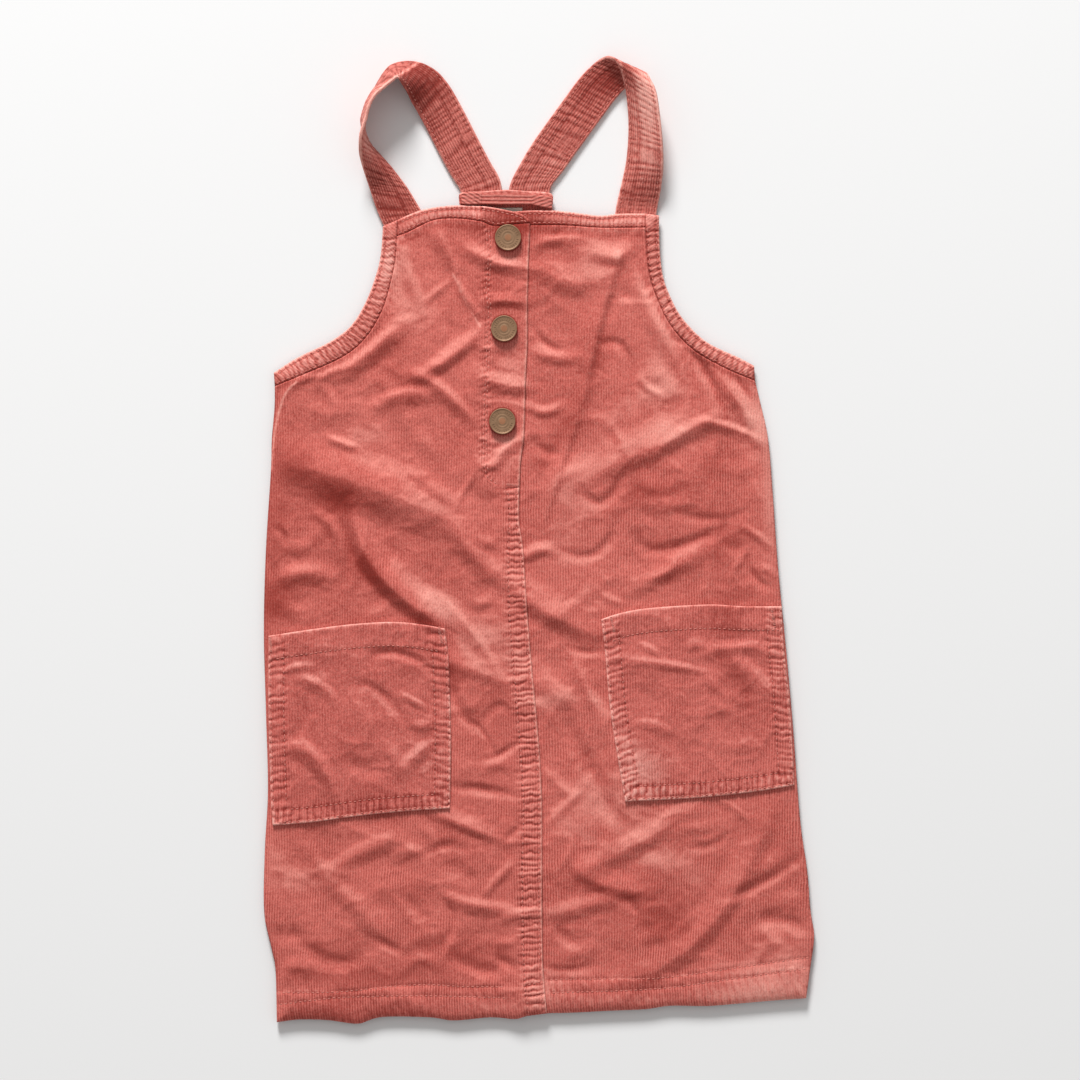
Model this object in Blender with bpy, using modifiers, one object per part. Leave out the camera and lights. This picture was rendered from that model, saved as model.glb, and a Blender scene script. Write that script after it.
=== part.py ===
"""Child's pinafore dress in needlecord, laid flat on its back with the front up.

Metres, +Z up, +Y towards the shoulders, +X towards the dress's own left hand.
The origin lies under the middle of the whole outline, on the surface that the
back rests on. Sizes in the tables are millimetres and are scaled by MM.

The front is one plan of named seam lines. It is cut into triangles once, and each
piece takes the triangles between its own seams, so that neighbours meet evenly and
pockets, placket and lap lie exactly on the panel below.
"""
import math

import bmesh
import bpy
import numpy as np
from mathutils import Vector
from mathutils.geometry import delaunay_2d_cdt

MM = 0.001

# Cloth
CORD_WALL = 1.6             # wall of a single layer of needlecord
BAND_WALL = 2.1             # folded binding at neck and armholes
POCKET_WALL = 1.5
BACK_WALL = 1.5
SEAM_GAP = 0.3              # clear space between neighbouring pieces
LAYER_GAP = 0.5             # upright space between stacked layers
LAP_RISE = CORD_WALL + LAYER_GAP

# Height of the front's underside over the resting surface
SIDE_HEIGHT = 1.95          # at side seams and hem, just clear of the back
BIB_HEIGHT = 3.1            # at neck and armholes, clear of the tucked straps
NECK_HEIGHT = 4.0           # at the middle of the neck, clear of the label
PUFF_HEIGHT = 4.7           # over the open body
ROLL_WIDTH = 11.0           # how far the edge takes to roll up to the puff
BIB_START = 118.0           # level of the underarm, where the roll turns into the bib

# Mesh
CELL = 12.0                 # spacing of the points inside a panel
SEAM_STEP = 8.0             # spacing of the points along a seam
FOLD_STEP = 9.0             # spacing of the points along a fold

# Seam lines, as points (x, y) from one corner of the pattern to the next
SIDE_LEFT = [(-167.7, -308.8), (-168.5, -276), (-171, -262), (-175.8, -238), (-175.4, -199),
             (-173.4, -160), (-174.7, -109), (-176, -58), (-174.7, -7), (-171.5, 44),
             (-170.9, 64), (-169.2, 84), (-169, 98)]
SIDE_RIGHT = [(170.9, -293.4), (173.4, -275), (176, -254), (173.6, -237), (171.5, -211),
              (167, -179), (162.6, -122), (158.1, -71), (153, -19), (149.8, 25),
              (146.6, 64), (141.4, 88), (138.2, 101.5)]
BAND_END_LEFT = [(-169, 98), (-169.6, 106.6)]
BAND_END_RIGHT = [(138.2, 101.5), (137.6, 111)]
ARMHOLE_LEFT = [(-169.6, 106.6), (-155, 116), (-134, 126.3), (-120.3, 136.6), (-110.7, 152),
                (-104, 170), (-101.1, 183), (-99.8, 200.3)]
ARMHOLE_RIGHT = [(137.6, 111), (128, 116.2), (107, 126.4), (91.5, 141.8), (83, 157.5),
                 (79, 170), (77.2, 187), (76.8, 207.2)]
BAND_INNER_LEFT = [(-169, 98), (-147, 107), (-125.4, 116.8), (-111.4, 128.3), (-100.5, 146),
                   (-94.4, 166), (-91.6, 181), (-90.9, 193.8)]
BAND_INNER_RIGHT = [(138.2, 101.5), (120, 109), (98.6, 121.3), (83.8, 137.3), (74.2, 157),
                    (69.6, 174), (68, 199.4)]
TOP_CORNER_LEFT = [(-99.8, 200.3), (-90.6, 204.4)]
TOP_LEFT = [(-90.6, 204.4), (-75.5, 210.5), (-59.5, 213.2), (-43, 213.5), (-30, 212.2),
            (-16.6, 209.6)]
LAP_CORNER = [(-16.6, 209.6), (-10.2, 207.4), (-5.8, 203.6)]
TOP_RIGHT = [(-16.6, 209.6), (-5.8, 210.3), (11, 210.2), (28, 208.3), (39, 207), (52, 208.3),
             (68.2, 208.4)]
TOP_CORNER_RIGHT = [(68.2, 208.4), (76.8, 207.2)]
CORNER_SEAM_LEFT = [(-90.9, 193.8), (-90.6, 204.4)]
CORNER_SEAM_RIGHT = [(68, 199.4), (68.2, 208.4)]
NECK_SEAM_LEFT = [(-90.9, 193.8), (-84, 196.3), (-71.7, 202.5), (-62, 205), (-49, 205),
                  (-36, 203)]
NECK_SEAM_PLACKET = [(-36, 203), (-27, 200.2), (-16, 197.2), (-6, 195.5)]
NECK_SEAM_RIGHT = [(-5.8, 200.9), (17, 200.8), (39, 199.3), (68, 199.4)]
LAP_TIP = [(-5.8, 203.6), (-5.8, 200.9)]
LAP_UNDER_BAND = [(-5.8, 200.9), (-6, 195.5)]
LAP_UPPER = [(-6, 195.5), (-6.8, 177), (-7.5, 148), (-7.4, 126), (-8.6, 102), (-9.6, 67),
             (-11.6, 51), (-12.6, 33.4)]
LAP_LOWER = [(-12.6, 33.4), (-12.8, 12), (-10.2, -6), (-7.7, -44), (-4.5, -82), (-1, -120),
             (1.6, -160), (1.9, -217), (2.4, -268), (5.1, -303)]
PLACKET_SIDE = [(-36, 203), (-34, 181), (-35.6, 160), (-34, 145), (-35.2, 118), (-36.5, 89),
                (-37, 62), (-36.5, 47), (-34, 38.5), (-28.5, 34.3), (-21.1, 32.4)]
PLACKET_TOE = [(-21.1, 32.4), (-12.6, 33.4)]
STRIP_SIDE = [(-21.1, 32.4), (-19.8, 17), (-20.5, -6), (-20.1, -44), (-17.3, -82),
              (-14.1, -120), (-10.9, -167), (-11.5, -192), (-11.5, -242), (-10.2, -281),
              (-7.7, -304.6)]
HEM_LEFT = [(-167.7, -308.8), (-154, -307), (-135, -307.4), (-116, -309.6), (-100.5, -305.4),
            (-70, -305.6), (-54.4, -307.6), (-31, -305.6), (-16, -306.6), (-7.7, -304.6)]
HEM_LAP = [(-7.7, -304.6), (5.1, -303)]
HEM_RIGHT = [(5.1, -303), (22, -302.6), (45, -301.4), (68, -300.4), (84, -298.2),
             (107, -298.4), (130, -296.6), (153, -294.6), (170.9, -293.4)]
POCKET_LEFT = [
    [(-172.8, -61.5), (-145, -57.3), (-119.7, -54.1), (-93, -52.6), (-74, -54.4), (-60.2, -56.8)],
    [(-60.2, -56.8), (-57.6, -80), (-56.3, -130), (-57, -171.8)],
    [(-57, -171.8), (-85, -173.6), (-113, -176.3), (-144, -180.5), (-170.2, -182.7)],
    [(-170.2, -182.7), (-171.6, -160), (-172.9, -109), (-172.8, -61.5)]]
POCKET_RIGHT = [
    [(39.7, -50.9), (52, -47), (70.4, -43.8), (107.5, -41.5), (131, -42.6), (155.2, -42.6)],
    [(155.2, -42.6), (156.2, -65), (160, -101), (162.2, -135), (163.2, -157)],
    [(163.2, -157), (135.7, -161.4), (98.6, -165.2), (55, -167.4)],
    [(55, -167.4), (49, -132), (44.8, -102.7), (42, -70), (39.7, -50.9)]]

# Largest folds of the front: start, middle and end in plan, rise and half width
#    x0,  y0,  x1,  y1,  x2,  y2, rise, half width
FOLDS = [
    (-166, 47, -115, 32, -63, 10, 4.5, 13.0),
    (-63, 10, -27, -27, 34, -64, 4.0, 11.0),
    (-115, 16, -92, -23, -60, -59, 4.0, 10.0),
    (-60, -59, -52, -93, -31, -130, 2.8, 8.0),
    (13, 36, 74, 62, 125, 74, 3.2, 11.0),
    (65, 188, 42, 169, 37, 134, -2.0, 6.0),
    (37, 134, 28, 97, 3, 25, -2.2, 6.0),
    (68, 178, 77, 142, 98, 111, 2.0, 6.0),
    (99, 118, 111, 97, 122, 78, -1.8, 6.0),
    (117, 107, 130, 86, 143, 60, 2.4, 8.0),
    (57, 6, 90, 5, 132, 17, 1.5, 6.0),
    (-141, 110, -116, 123, -88, 142, 2.0, 7.0),
    (-86, 107, -63, 120, -39, 134, 1.5, 6.0),
    (-103, 99, -76, 97, -59, 79, -1.5, 6.0),
    (-66, 197, -54, 171, -42, 146, 1.8, 6.0),
    (-79, 185, -68, 177, -58, 170, -1.8, 6.0),
    (-3, 192, 3, 171, 20, 153, -1.8, 6.0),
    (11, 161, 23, 164, 39, 174, 2.2, 9.0),
    (7, -196, 39, -218, 98, -229, 2.5, 8.0),
    (36, -210, 68, -194, 97, -178, 1.5, 6.0),
    (47, -283, 103, -247, 157, -176, 2.8, 8.0),
    (-63, -236, -12, -241, 39, -234, 1.5, 6.0),
    (-63, -174, -44, -183, -23, -191, 2.0, 6.0),
    (-12, -103, 19, -121, 38, -164, 2.5, 8.0),
    (116, -68, 135, -89, 153, -108, 2.4, 8.0),
    (-177, -31, -161, -27, -144, -20, 1.6, 6.0),
    (-153, -250, -121, -256, -92, -253, 1.5, 9.0),
    (127, -249, 151, -247, 171, -255, -1.8, 8.0)]

# Snap caps
SNAPS = {"snap_top": (-19.8, 192.8), "snap_middle": (-22.3, 134.7), "snap_bottom": (-23.4, 75.5)}
SNAP_RADIUS = 8.4
SNAP_HEIGHT = 3.0
SNAP_SEAT_RADIUS = 9.6      # the cloth is pressed flat within this
SNAP_SEAT_FADE = 10.0       # and takes this much more to come back to its folds
SNAP_SEAT_HEIGHT = 4.7

# Straps: rows from the tucked front end to the back neck.
# One edge (x, y, z) and the other edge (x, y, z) of the ribbon's middle surface;
# each row sets the middle and the lie of the ribbon, and the width is always STRAP_WIDTH.
STRAP_WIDTH = 26.5
STRAP_WALL = 2.4
STRAP_ROWS = {
    "strap_left": [
        (-96.6, 196.8, 1.5, -72.3, 203.8, 1.5),
        (-99.8, 202.6, 1.5, -74.9, 209.0, 1.5),
        (-104.3, 213.4, 2.2, -78.7, 215.4, 1.5),
        (-109.4, 228.2, 5.0, -83.8, 224.3, 1.6),
        (-113.3, 241.0, 14.6, -91.5, 234.6, 1.7),
        (-113.9, 249.9, 22.5, -101.1, 244.8, 1.2),
        (-113.3, 258.2, 26.0, -108.8, 253.8, 0.6),
        (-110.3, 267.2, 26.6, -113.3, 265.9, 0.4),
        (-108.2, 275.5, 26.6, -112.3, 273.6, 0.4),
        (-104.3, 282.6, 26.4, -109.1, 282.2, 0.4),
        (-98.6, 287.7, 26.2, -104.3, 289.6, 0.5),
        (-93.4, 291.8, 25.8, -99.8, 297.3, 0.6),
        (-90.2, 294.1, 25.2, -94.7, 302.9, 0.8),
        (-88.3, 292.2, 24.0, -85.8, 305.6, 1.0),
        (-86.4, 289.0, 19.8, -75.5, 304.8, 1.3),
        (-83.8, 284.5, 14.2, -67.2, 300.8, 1.5),
        (-81.3, 279.4, 8.2, -61.4, 295.4, 1.6),
        (-77.4, 272.3, 3.6, -55.0, 287.0, 1.5),
        (-71.0, 260.2, 1.5, -47.4, 273.6, 1.5),
        (-63.4, 245.4, 1.5, -39.0, 257.0, 1.5),
        (-56.3, 232.0, 1.5, -30.7, 241.6, 1.5),
        (-51.2, 224.6, 1.5, -25.0, 231.0, 1.5),
        (-49.9, 219.0, 1.5, -22.9, 219.0, 1.5)],
    "strap_right": [
        (46.7, 197.6, 1.5, 74.2, 197.6, 1.5),
        (47.7, 206.3, 1.5, 75.6, 207.0, 1.5),
        (49.3, 214.7, 1.6, 76.6, 214.7, 2.4),
        (53.1, 225.6, 1.7, 77.4, 226.2, 7.0),
        (56.3, 239.7, 1.8, 78.4, 238.4, 12.5),
        (57.3, 254.4, 2.2, 78.7, 249.9, 16.2),
        (57.3, 268.5, 3.6, 78.1, 260.2, 17.8),
        (56.3, 281.3, 5.6, 76.8, 271.0, 18.8),
        (55.0, 291.5, 8.0, 75.2, 280.6, 19.4),
        (51.8, 300.5, 10.8, 73.9, 287.7, 18.6),
        (47.6, 306.0, 12.0, 71.9, 292.8, 15.6),
        (43.4, 308.4, 10.0, 69.2, 296.6, 11.6),
        (39.6, 307.6, 5.6, 64.4, 297.0, 6.6),
        (33.9, 303.0, 2.6, 57.0, 290.9, 2.8),
        (26.2, 295.5, 1.5, 48.6, 281.3, 1.5),
        (17.3, 283.8, 1.5, 39.7, 269.1, 1.5),
        (7.7, 270.4, 1.5, 29.8, 255.6, 1.5),
        (-2.6, 256.0, 1.5, 20.2, 242.2, 1.5),
        (-11.5, 241.0, 1.5, 13.6, 233.4, 1.5),
        (-18.4, 228.0, 1.5, 8.4, 226.4, 1.5),
        (-20.4, 219.0, 1.5, 7.0, 219.0, 1.5)]}
STRAP_STEPS_PER_ROW = 3
STRAP_CELLS_ACROSS = 4

# Back panel, its neck band, the hanging loop and the label
BACK_INSET = 1.6            # the back lies this far inside the front's side edge
BACK_HEM_LEFT, BACK_HEM_RIGHT = -304.5, -290.5
BACK_UNDERARM = [(-167.4, 98.0), (136.4, 100.0)]
BACK_NECK_LEVEL = 218.2
BACK_NECK_LEFT, BACK_NECK_RIGHT = -50.2, 8.0
RACER_LEFT = [(-167.4, 98), (-140, 104), (-104, 122), (-76, 150), (-59, 182), (-51.4, 205),
              (-50.2, 218.2)]
RACER_RIGHT = [(8.0, 218.2), (9.6, 205), (17, 182), (38, 150), (66, 123), (106, 105),
               (136.4, 100)]
BAND_PLAN = [(-51.0, 214.2), (-50.0, 221.6), (-36, 222.6), (-21.8, 223.6), (-8, 222.8),
             (7.4, 221.4), (9.0, 214.2)]
BAND_BASE, BAND_TOP = 3.1, 4.3
# x, low y, high y, low z, high z
LOOP_ROWS = [
    (-49.5, 214.8, 221.2, 4.6, 5.8), (-46.5, 214.2, 222.2, 4.6, 7.0),
    (-40.0, 214.2, 221.8, 4.6, 7.2), (-37.0, 214.3, 221.2, 4.6, 6.6),
    (-35.0, 214.3, 220.9, 4.7, 5.9), (-22.0, 214.0, 221.0, 5.2, 6.4),
    (-7.0, 214.1, 220.6, 4.7, 5.9), (-3.6, 213.8, 220.6, 4.6, 6.6),
    (1.5, 212.8, 219.9, 4.6, 7.2), (6.2, 211.8, 219.2, 4.6, 6.8), (8.2, 212.0, 218.0, 4.6, 5.8)]
LABEL_CENTRE, LABEL_SIZE = (-19.0, 207.2, 2.35), (17.0, 10.0, 1.0)

COLOURS = {"cord": (0.53, 0.135, 0.11), "cord_band": (0.50, 0.125, 0.10),
           "cord_pocket": (0.55, 0.15, 0.12), "brass": (0.33, 0.22, 0.11),
           "label": (0.80, 0.76, 0.70)}


# ---------------------------------------------------------------- plan geometry

def smooth_run(knots, step):
    """Points about a step apart on a smooth curve through the knots, ends included."""
    knots = [np.array(knot, float) for knot in knots]
    ends = [2 * knots[0] - knots[1]] + knots + [2 * knots[-1] - knots[-2]]
    points = [knots[0]]
    for before, start, stop, after in zip(ends, ends[1:], ends[2:], ends[3:]):
        count = max(1, round(np.linalg.norm(stop[:2] - start[:2]) / step))
        for index in range(1, count + 1):
            points.append(spline_point(before, start, stop, after, index / count))
    return np.array(points)


def spline_point(before, start, stop, after, t):
    """Catmull-Rom point between start and stop."""
    return 0.5 * (2 * start + (stop - before) * t
                  + (2 * before - 5 * start + 4 * stop - after) * t ** 2
                  + (3 * start - before - 3 * stop + after) * t ** 3)


def join_runs(*runs):
    """One closed outline from runs that follow each other head to tail."""
    points = []
    for run in runs:
        points.extend(run[:-1])
    return np.array(points)


def fold_path(row, count=12):
    """Plan points along one fold, from its start through its middle to its end."""
    start, middle, end = (np.array(row[i:i + 2], float) for i in (0, 2, 4))
    control = 2 * middle - (start + end) / 2
    t = np.linspace(0, 1, count)[:, None]
    return (1 - t) ** 2 * start + 2 * t * (1 - t) * control + t ** 2 * end


def nearest_on_path(points, path):
    """Distance of each point to a path, and the place along it from 0 to 1."""
    best = np.full(len(points), np.inf)
    along = np.zeros(len(points))
    lengths = np.linalg.norm(np.diff(path, axis=0), axis=1)
    starts = np.concatenate([[0], np.cumsum(lengths)])
    for index, length in enumerate(lengths):
        direction = (path[index + 1] - path[index]) / length
        reach = np.clip((points - path[index]) @ direction, 0, length)
        distance = np.linalg.norm(points - path[index] - reach[:, None] * direction, axis=1)
        closer = distance < best
        best = np.where(closer, distance, best)
        along = np.where(closer, (starts[index] + reach) / starts[-1], along)
    return best, along


def inside(points, outline):
    """True for each point within a closed outline."""
    result = np.zeros(len(points), bool)
    for (x0, y0), (x1, y1) in zip(outline, np.roll(outline, -1, axis=0)):
        if y0 == y1:
            continue
        crosses = (points[:, 1] < y0) != (points[:, 1] < y1)
        at = x0 + (points[:, 1] - y0) * (x1 - x0) / (y1 - y0)
        result ^= crosses & (points[:, 0] < at)
    return result


def smoothstep(value):
    value = np.clip(value, 0, 1)
    return value * value * (3 - 2 * value)


# ---------------------------------------------------------------- seam plan

RUNS = {name: smooth_run(knots, SEAM_STEP) for name, knots in {
    "side_l": SIDE_LEFT, "side_r": SIDE_RIGHT, "end_l": BAND_END_LEFT, "end_r": BAND_END_RIGHT,
    "arm_l": ARMHOLE_LEFT, "arm_r": ARMHOLE_RIGHT, "inner_l": BAND_INNER_LEFT,
    "inner_r": BAND_INNER_RIGHT, "corner_l": TOP_CORNER_LEFT, "corner_r": TOP_CORNER_RIGHT,
    "top_l": TOP_LEFT, "top_r": TOP_RIGHT, "lap_corner": LAP_CORNER, "mitre_l": CORNER_SEAM_LEFT,
    "mitre_r": CORNER_SEAM_RIGHT, "neck_l": NECK_SEAM_LEFT, "neck_p": NECK_SEAM_PLACKET,
    "neck_r": NECK_SEAM_RIGHT, "lap_tip": LAP_TIP, "lap_band": LAP_UNDER_BAND,
    "lap_up": LAP_UPPER, "lap_low": LAP_LOWER, "placket": PLACKET_SIDE, "toe": PLACKET_TOE,
    "strip": STRIP_SIDE, "hem_l": HEM_LEFT, "hem_lap": HEM_LAP, "hem_r": HEM_RIGHT}.items()}
RUNS.update({name + "_back": run[::-1] for name, run in list(RUNS.items())})

OUTLINES = {name: join_runs(*(RUNS[run] for run in runs.split())) for name, runs in {
    "front": "side_l end_l arm_l corner_l top_l top_r corner_r arm_r_back end_r_back"
             " side_r_back hem_r_back hem_lap_back hem_l_back",
    "front_left": "side_l inner_l neck_l placket strip hem_l_back",
    "placket": "placket toe lap_up_back neck_p_back",
    "centre_lap": "toe lap_low hem_lap_back strip_back",
    "neck_band_left": "mitre_l top_l lap_corner lap_tip lap_band neck_p_back neck_l_back",
    "neck_band_right": "top_r mitre_r_back neck_r_back lap_tip_back lap_corner_back",
    "armhole_band_left": "inner_l mitre_l corner_l_back arm_l_back end_l_back",
    "armhole_band_right": "inner_r mitre_r corner_r arm_r_back end_r_back",
    "front_right": "lap_low hem_r side_r inner_r neck_r_back lap_band lap_up",
}.items()}
OUTLINES["pocket_left"] = join_runs(*(smooth_run(run, SEAM_STEP) for run in POCKET_LEFT))
OUTLINES["pocket_right"] = join_runs(*(smooth_run(run, SEAM_STEP) for run in POCKET_RIGHT))
LAP_LINE = np.concatenate([RUNS["placket"], RUNS["strip"][1:]])


def front_height(points):
    """Height of the front's underside over the resting surface, in plan millimetres."""
    edge = OUTLINES["front"]
    distance, _ = nearest_on_path(points, np.vstack([edge, edge[:1]]))
    roll = np.clip(distance / ROLL_WIDTH, 0, 1)
    roll = np.sqrt(1 - (1 - roll) ** 2)
    bib = smoothstep((points[:, 1] - BIB_START + 14) / 28)
    rim = SIDE_HEIGHT + (BIB_HEIGHT - SIDE_HEIGHT) * bib
    neck = np.exp(-((points[:, 0] + 20) / 42) ** 2 - ((points[:, 1] - 212) / 16) ** 2)
    rim = rim + (NECK_HEIGHT - BIB_HEIGHT) * neck
    folds = np.zeros(len(points))
    for row in FOLDS:
        gap, along = nearest_on_path(points, fold_path(row))
        taper = np.sin(math.pi * (0.06 + 0.88 * along)) ** 0.7
        folds += row[6] * taper * (1 + (gap / row[7]) ** 2) ** -1.5
    folds *= 0.3 + 0.7 * smoothstep(distance / ROLL_WIDTH)
    height = rim + (PUFF_HEIGHT - rim) * roll + folds
    for centre in SNAPS.values():
        reach = np.linalg.norm(points - np.array(centre), axis=1)
        height += (SNAP_SEAT_HEIGHT - height) * (
            1 - smoothstep((reach - SNAP_SEAT_RADIUS) / SNAP_SEAT_FADE))
    return np.maximum(height, rim)


def lapped_height(points):
    """Height of the left half, which climbs over the right half at placket and lap."""
    distance, _ = nearest_on_path(points, LAP_LINE)
    beyond = points[:, 0] > np.interp(points[:, 1], LAP_LINE[::-1, 1], LAP_LINE[::-1, 0])
    climb = np.where(beyond, 1, 1 - smoothstep(distance / 16))
    return front_height(points) + LAP_RISE * climb


def spread_points():
    """Loose points of the front's plan: snap seats, rolled edges, folds, open cloth."""
    seams = np.vstack([run for name, run in RUNS.items() if not name.endswith("_back")]
                      + [OUTLINES["pocket_left"], OUTLINES["pocket_right"]])
    taken = [tuple(point) for point in seams]
    loose = []

    def add(candidates, clearance):
        for point in candidates:
            near = np.linalg.norm(np.array(taken) - point, axis=1).min()
            if near > clearance:
                taken.append(tuple(point))
                loose.append(tuple(point))

    for centre in SNAPS.values():
        ring = [(centre[0] + SNAP_SEAT_RADIUS * math.cos(math.tau * k / 10),
                 centre[1] + SNAP_SEAT_RADIUS * math.sin(math.tau * k / 10)) for k in range(10)]
        add(np.array(ring + [centre]), 2.5)
    for run, side in ((RUNS["side_l"], 1), (RUNS["side_r"], -1)):
        for depth in (3.0, 8.0):
            add(run[1:-1:2] + np.array([side * depth, 0]), 2.6)
    for row in FOLDS:
        length = np.linalg.norm(np.diff(fold_path(row), axis=0), axis=1).sum()
        add(fold_path(row, max(3, round(length / FOLD_STEP))), 0.45 * CELL)
    low, high = OUTLINES["front"].min(axis=0), OUTLINES["front"].max(axis=0)
    rows = np.arange(low[1], high[1], CELL * math.sqrt(0.75))
    lattice = np.array([(x + CELL / 2 * (index % 2), y) for index, y in enumerate(rows)
                        for x in np.arange(low[0], high[0], CELL)])
    add(lattice[inside(lattice, OUTLINES["front"])], 0.62 * CELL)
    return np.array(loose)


def triangulate_front():
    """The front's plan as points and triangles, with every seam kept as edges."""
    points, edges, index_of = [], [], {}

    def index(point):
        key = (round(point[0], 4), round(point[1], 4))
        if key not in index_of:
            index_of[key] = len(points)
            points.append(Vector(key))
        return index_of[key]

    lines = [run for name, run in RUNS.items() if not name.endswith("_back")]
    lines += [np.vstack([OUTLINES[name], OUTLINES[name][:1]])
              for name in ("pocket_left", "pocket_right")]
    for line in lines:
        indices = [index(point) for point in line]
        edges += list(zip(indices, indices[1:]))
    for point in spread_points():
        index(point)
    plan, _, faces, _, _, _ = delaunay_2d_cdt(points, edges, [], 0, 1e-4)
    return np.array(plan), np.array(faces)


# ---------------------------------------------------------------- solids

def material(name):
    """A Principled material in one of the dress's colours."""
    if name in bpy.data.materials:
        return bpy.data.materials[name]
    result = bpy.data.materials.new(name)
    result.use_nodes = True
    shader = result.node_tree.nodes["Principled BSDF"]
    shader.inputs["Base Color"].default_value = (*COLOURS[name], 1)
    shader.inputs["Metallic"].default_value = 1.0 if name == "brass" else 0.0
    shader.inputs["Roughness"].default_value = 0.42 if name == "brass" else 0.9
    return result


def make_object(name, mesh, collection, colour):
    """A named object in the dress's collection with its own colour."""
    thing = bpy.data.objects.new(name, mesh)
    thing.data.materials.append(material(colour))
    collection.objects.link(thing)
    return thing


def finish_bmesh(bm, name):
    """A mesh from a bmesh, in metres, with its faces pointing out."""
    bmesh.ops.scale(bm, vec=(MM, MM, MM), verts=bm.verts)
    bmesh.ops.recalc_face_normals(bm, faces=bm.faces)
    mesh = bpy.data.meshes.new(name)
    bm.to_mesh(mesh)
    bm.free()
    return mesh


def pull_in_edges(bm, distance):
    """Move the boundary of a flat sheet inwards by a distance."""
    shift = {}
    for edge in bm.edges:
        if not edge.is_boundary:
            continue
        first, last = edge.verts
        along = (last.co - first.co).normalized()
        inward = Vector((-along.y, along.x, 0))
        if inward.dot(edge.link_faces[0].calc_center_median() - first.co) < 0:
            inward.negate()
        for vert in edge.verts:
            shift.setdefault(vert, []).append(inward)
    for vert, inwards in shift.items():
        mean = sum(inwards, Vector()).normalized()
        reach = max(0.5, mean.dot(inwards[0]))
        vert.co += mean * (distance / reach)


def panel(name, plan, faces, regions, height, wall, collection, colour):
    """A cloth wall over the plan triangles that lie in the named regions."""
    centres = plan[faces].mean(axis=1)
    chosen = np.zeros(len(faces), bool)
    for region in regions:
        chosen |= inside(centres, OUTLINES[region])
    bm = bmesh.new()
    verts = {}
    for face in faces[chosen]:
        for index in face:
            if index not in verts:
                verts[index] = bm.verts.new((*plan[index], 0))
        bm.faces.new([verts[index] for index in face])
    pull_in_edges(bm, SEAM_GAP / 2)
    heights = height(np.array([vert.co.xy for vert in bm.verts]))
    for vert, level in zip(bm.verts, heights):
        vert.co.z = level
    wall_top = bmesh.ops.extrude_face_region(bm, geom=bm.faces[:], use_keep_orig=True)
    for item in wall_top["geom"]:
        if isinstance(item, bmesh.types.BMVert):
            item.co.z += wall
    return make_object(name, finish_bmesh(bm, name), collection, colour)


def ribbon(name, rows, collection):
    """A strap: a flat ribbon of one width through its rows, thickened both ways."""
    path = smooth_rows(rows, STRAP_STEPS_PER_ROW)
    bm = bmesh.new()
    bmesh.ops.create_grid(bm, x_segments=STRAP_CELLS_ACROSS, y_segments=len(path) - 1, size=0.5)
    bm.verts.ensure_lookup_table()
    for vert in bm.verts:
        across = vert.co.x
        row = path[round((vert.co.y + 0.5) * (len(path) - 1))]
        first, last = Vector(row[:3]), Vector(row[3:])
        lie = (last - first).normalized()
        vert.co = (first + last) / 2 + lie * (across * STRAP_WIDTH)
    strap = make_object(name, finish_bmesh(bm, name), collection, "cord_band")
    thick = strap.modifiers.new("wall", "SOLIDIFY")
    thick.thickness = STRAP_WALL * MM
    thick.offset = 0
    thick.use_even_offset = True
    return strap


def smooth_rows(rows, steps):
    """Rows of a table with smooth rows filled in between."""
    rows = [np.array(row, float) for row in rows]
    ends = [2 * rows[0] - rows[1]] + rows + [2 * rows[-1] - rows[-2]]
    filled = [rows[0]]
    for before, start, stop, after in zip(ends, ends[1:], ends[2:], ends[3:]):
        filled += [spline_point(before, start, stop, after, k / steps)
                   for k in range(1, steps + 1)]
    return filled


def slab(name, outline, base, top, collection, colour):
    """A flat piece of cloth from its outline."""
    curve = bpy.data.curves.new(name, "CURVE")
    curve.dimensions = "2D"
    curve.fill_mode = "BOTH"
    curve.extrude = (top - base) / 2 * MM
    spline = curve.splines.new("POLY")
    spline.points.add(len(outline) - 1)
    for point, (x, y) in zip(spline.points, outline):
        point.co = (x * MM, y * MM, 0, 1)
    spline.use_cyclic_u = True
    thing = make_object(name, curve, collection, colour)
    thing.location.z = (base + top) / 2 * MM
    return thing


def back_panel(collection):
    """The back: side seams inside the front's, racer armholes, a narrow neck."""
    inset = np.array([BACK_INSET, 0])
    left, right = RUNS["side_l"] + inset, RUNS["side_r"] - inset
    left = left[(left[:, 1] > BACK_HEM_LEFT + 6) & (left[:, 1] < BACK_UNDERARM[0][1] - 6)]
    right = right[(right[:, 1] > BACK_HEM_RIGHT + 6) & (right[:, 1] < BACK_UNDERARM[1][1] - 6)]
    hem = [(left[0][0] + 1, BACK_HEM_LEFT), (right[0][0] - 1, BACK_HEM_RIGHT)]
    outline = np.vstack([hem[:1], left, smooth_run(RACER_LEFT, SEAM_STEP),
                         smooth_run(RACER_RIGHT, SEAM_STEP), right[::-1], hem[1:]])
    return slab("back_panel", outline, 0, BACK_WALL, collection, "cord")


def hanging_loop(collection):
    """The loop of cord on the back neck, folded under at both ends."""
    bm = bmesh.new()
    rings = []
    for x, y_low, y_high, z_low, z_high in LOOP_ROWS:
        corners = [(y_low, z_low), (y_high, z_low), (y_high, z_high), (y_low, z_high)]
        rings.append([bm.verts.new((x, y, z)) for y, z in corners])
    for ring, following in zip(rings, rings[1:]):
        for k in range(4):
            bm.faces.new((ring[k], ring[k - 1], following[k - 1], following[k]))
    bm.faces.new(rings[0])
    bm.faces.new(rings[-1])
    bmesh.ops.triangulate(bm, faces=bm.faces)
    return make_object("hanging_loop", finish_bmesh(bm, "hanging_loop"), collection, "cord_band")


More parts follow.
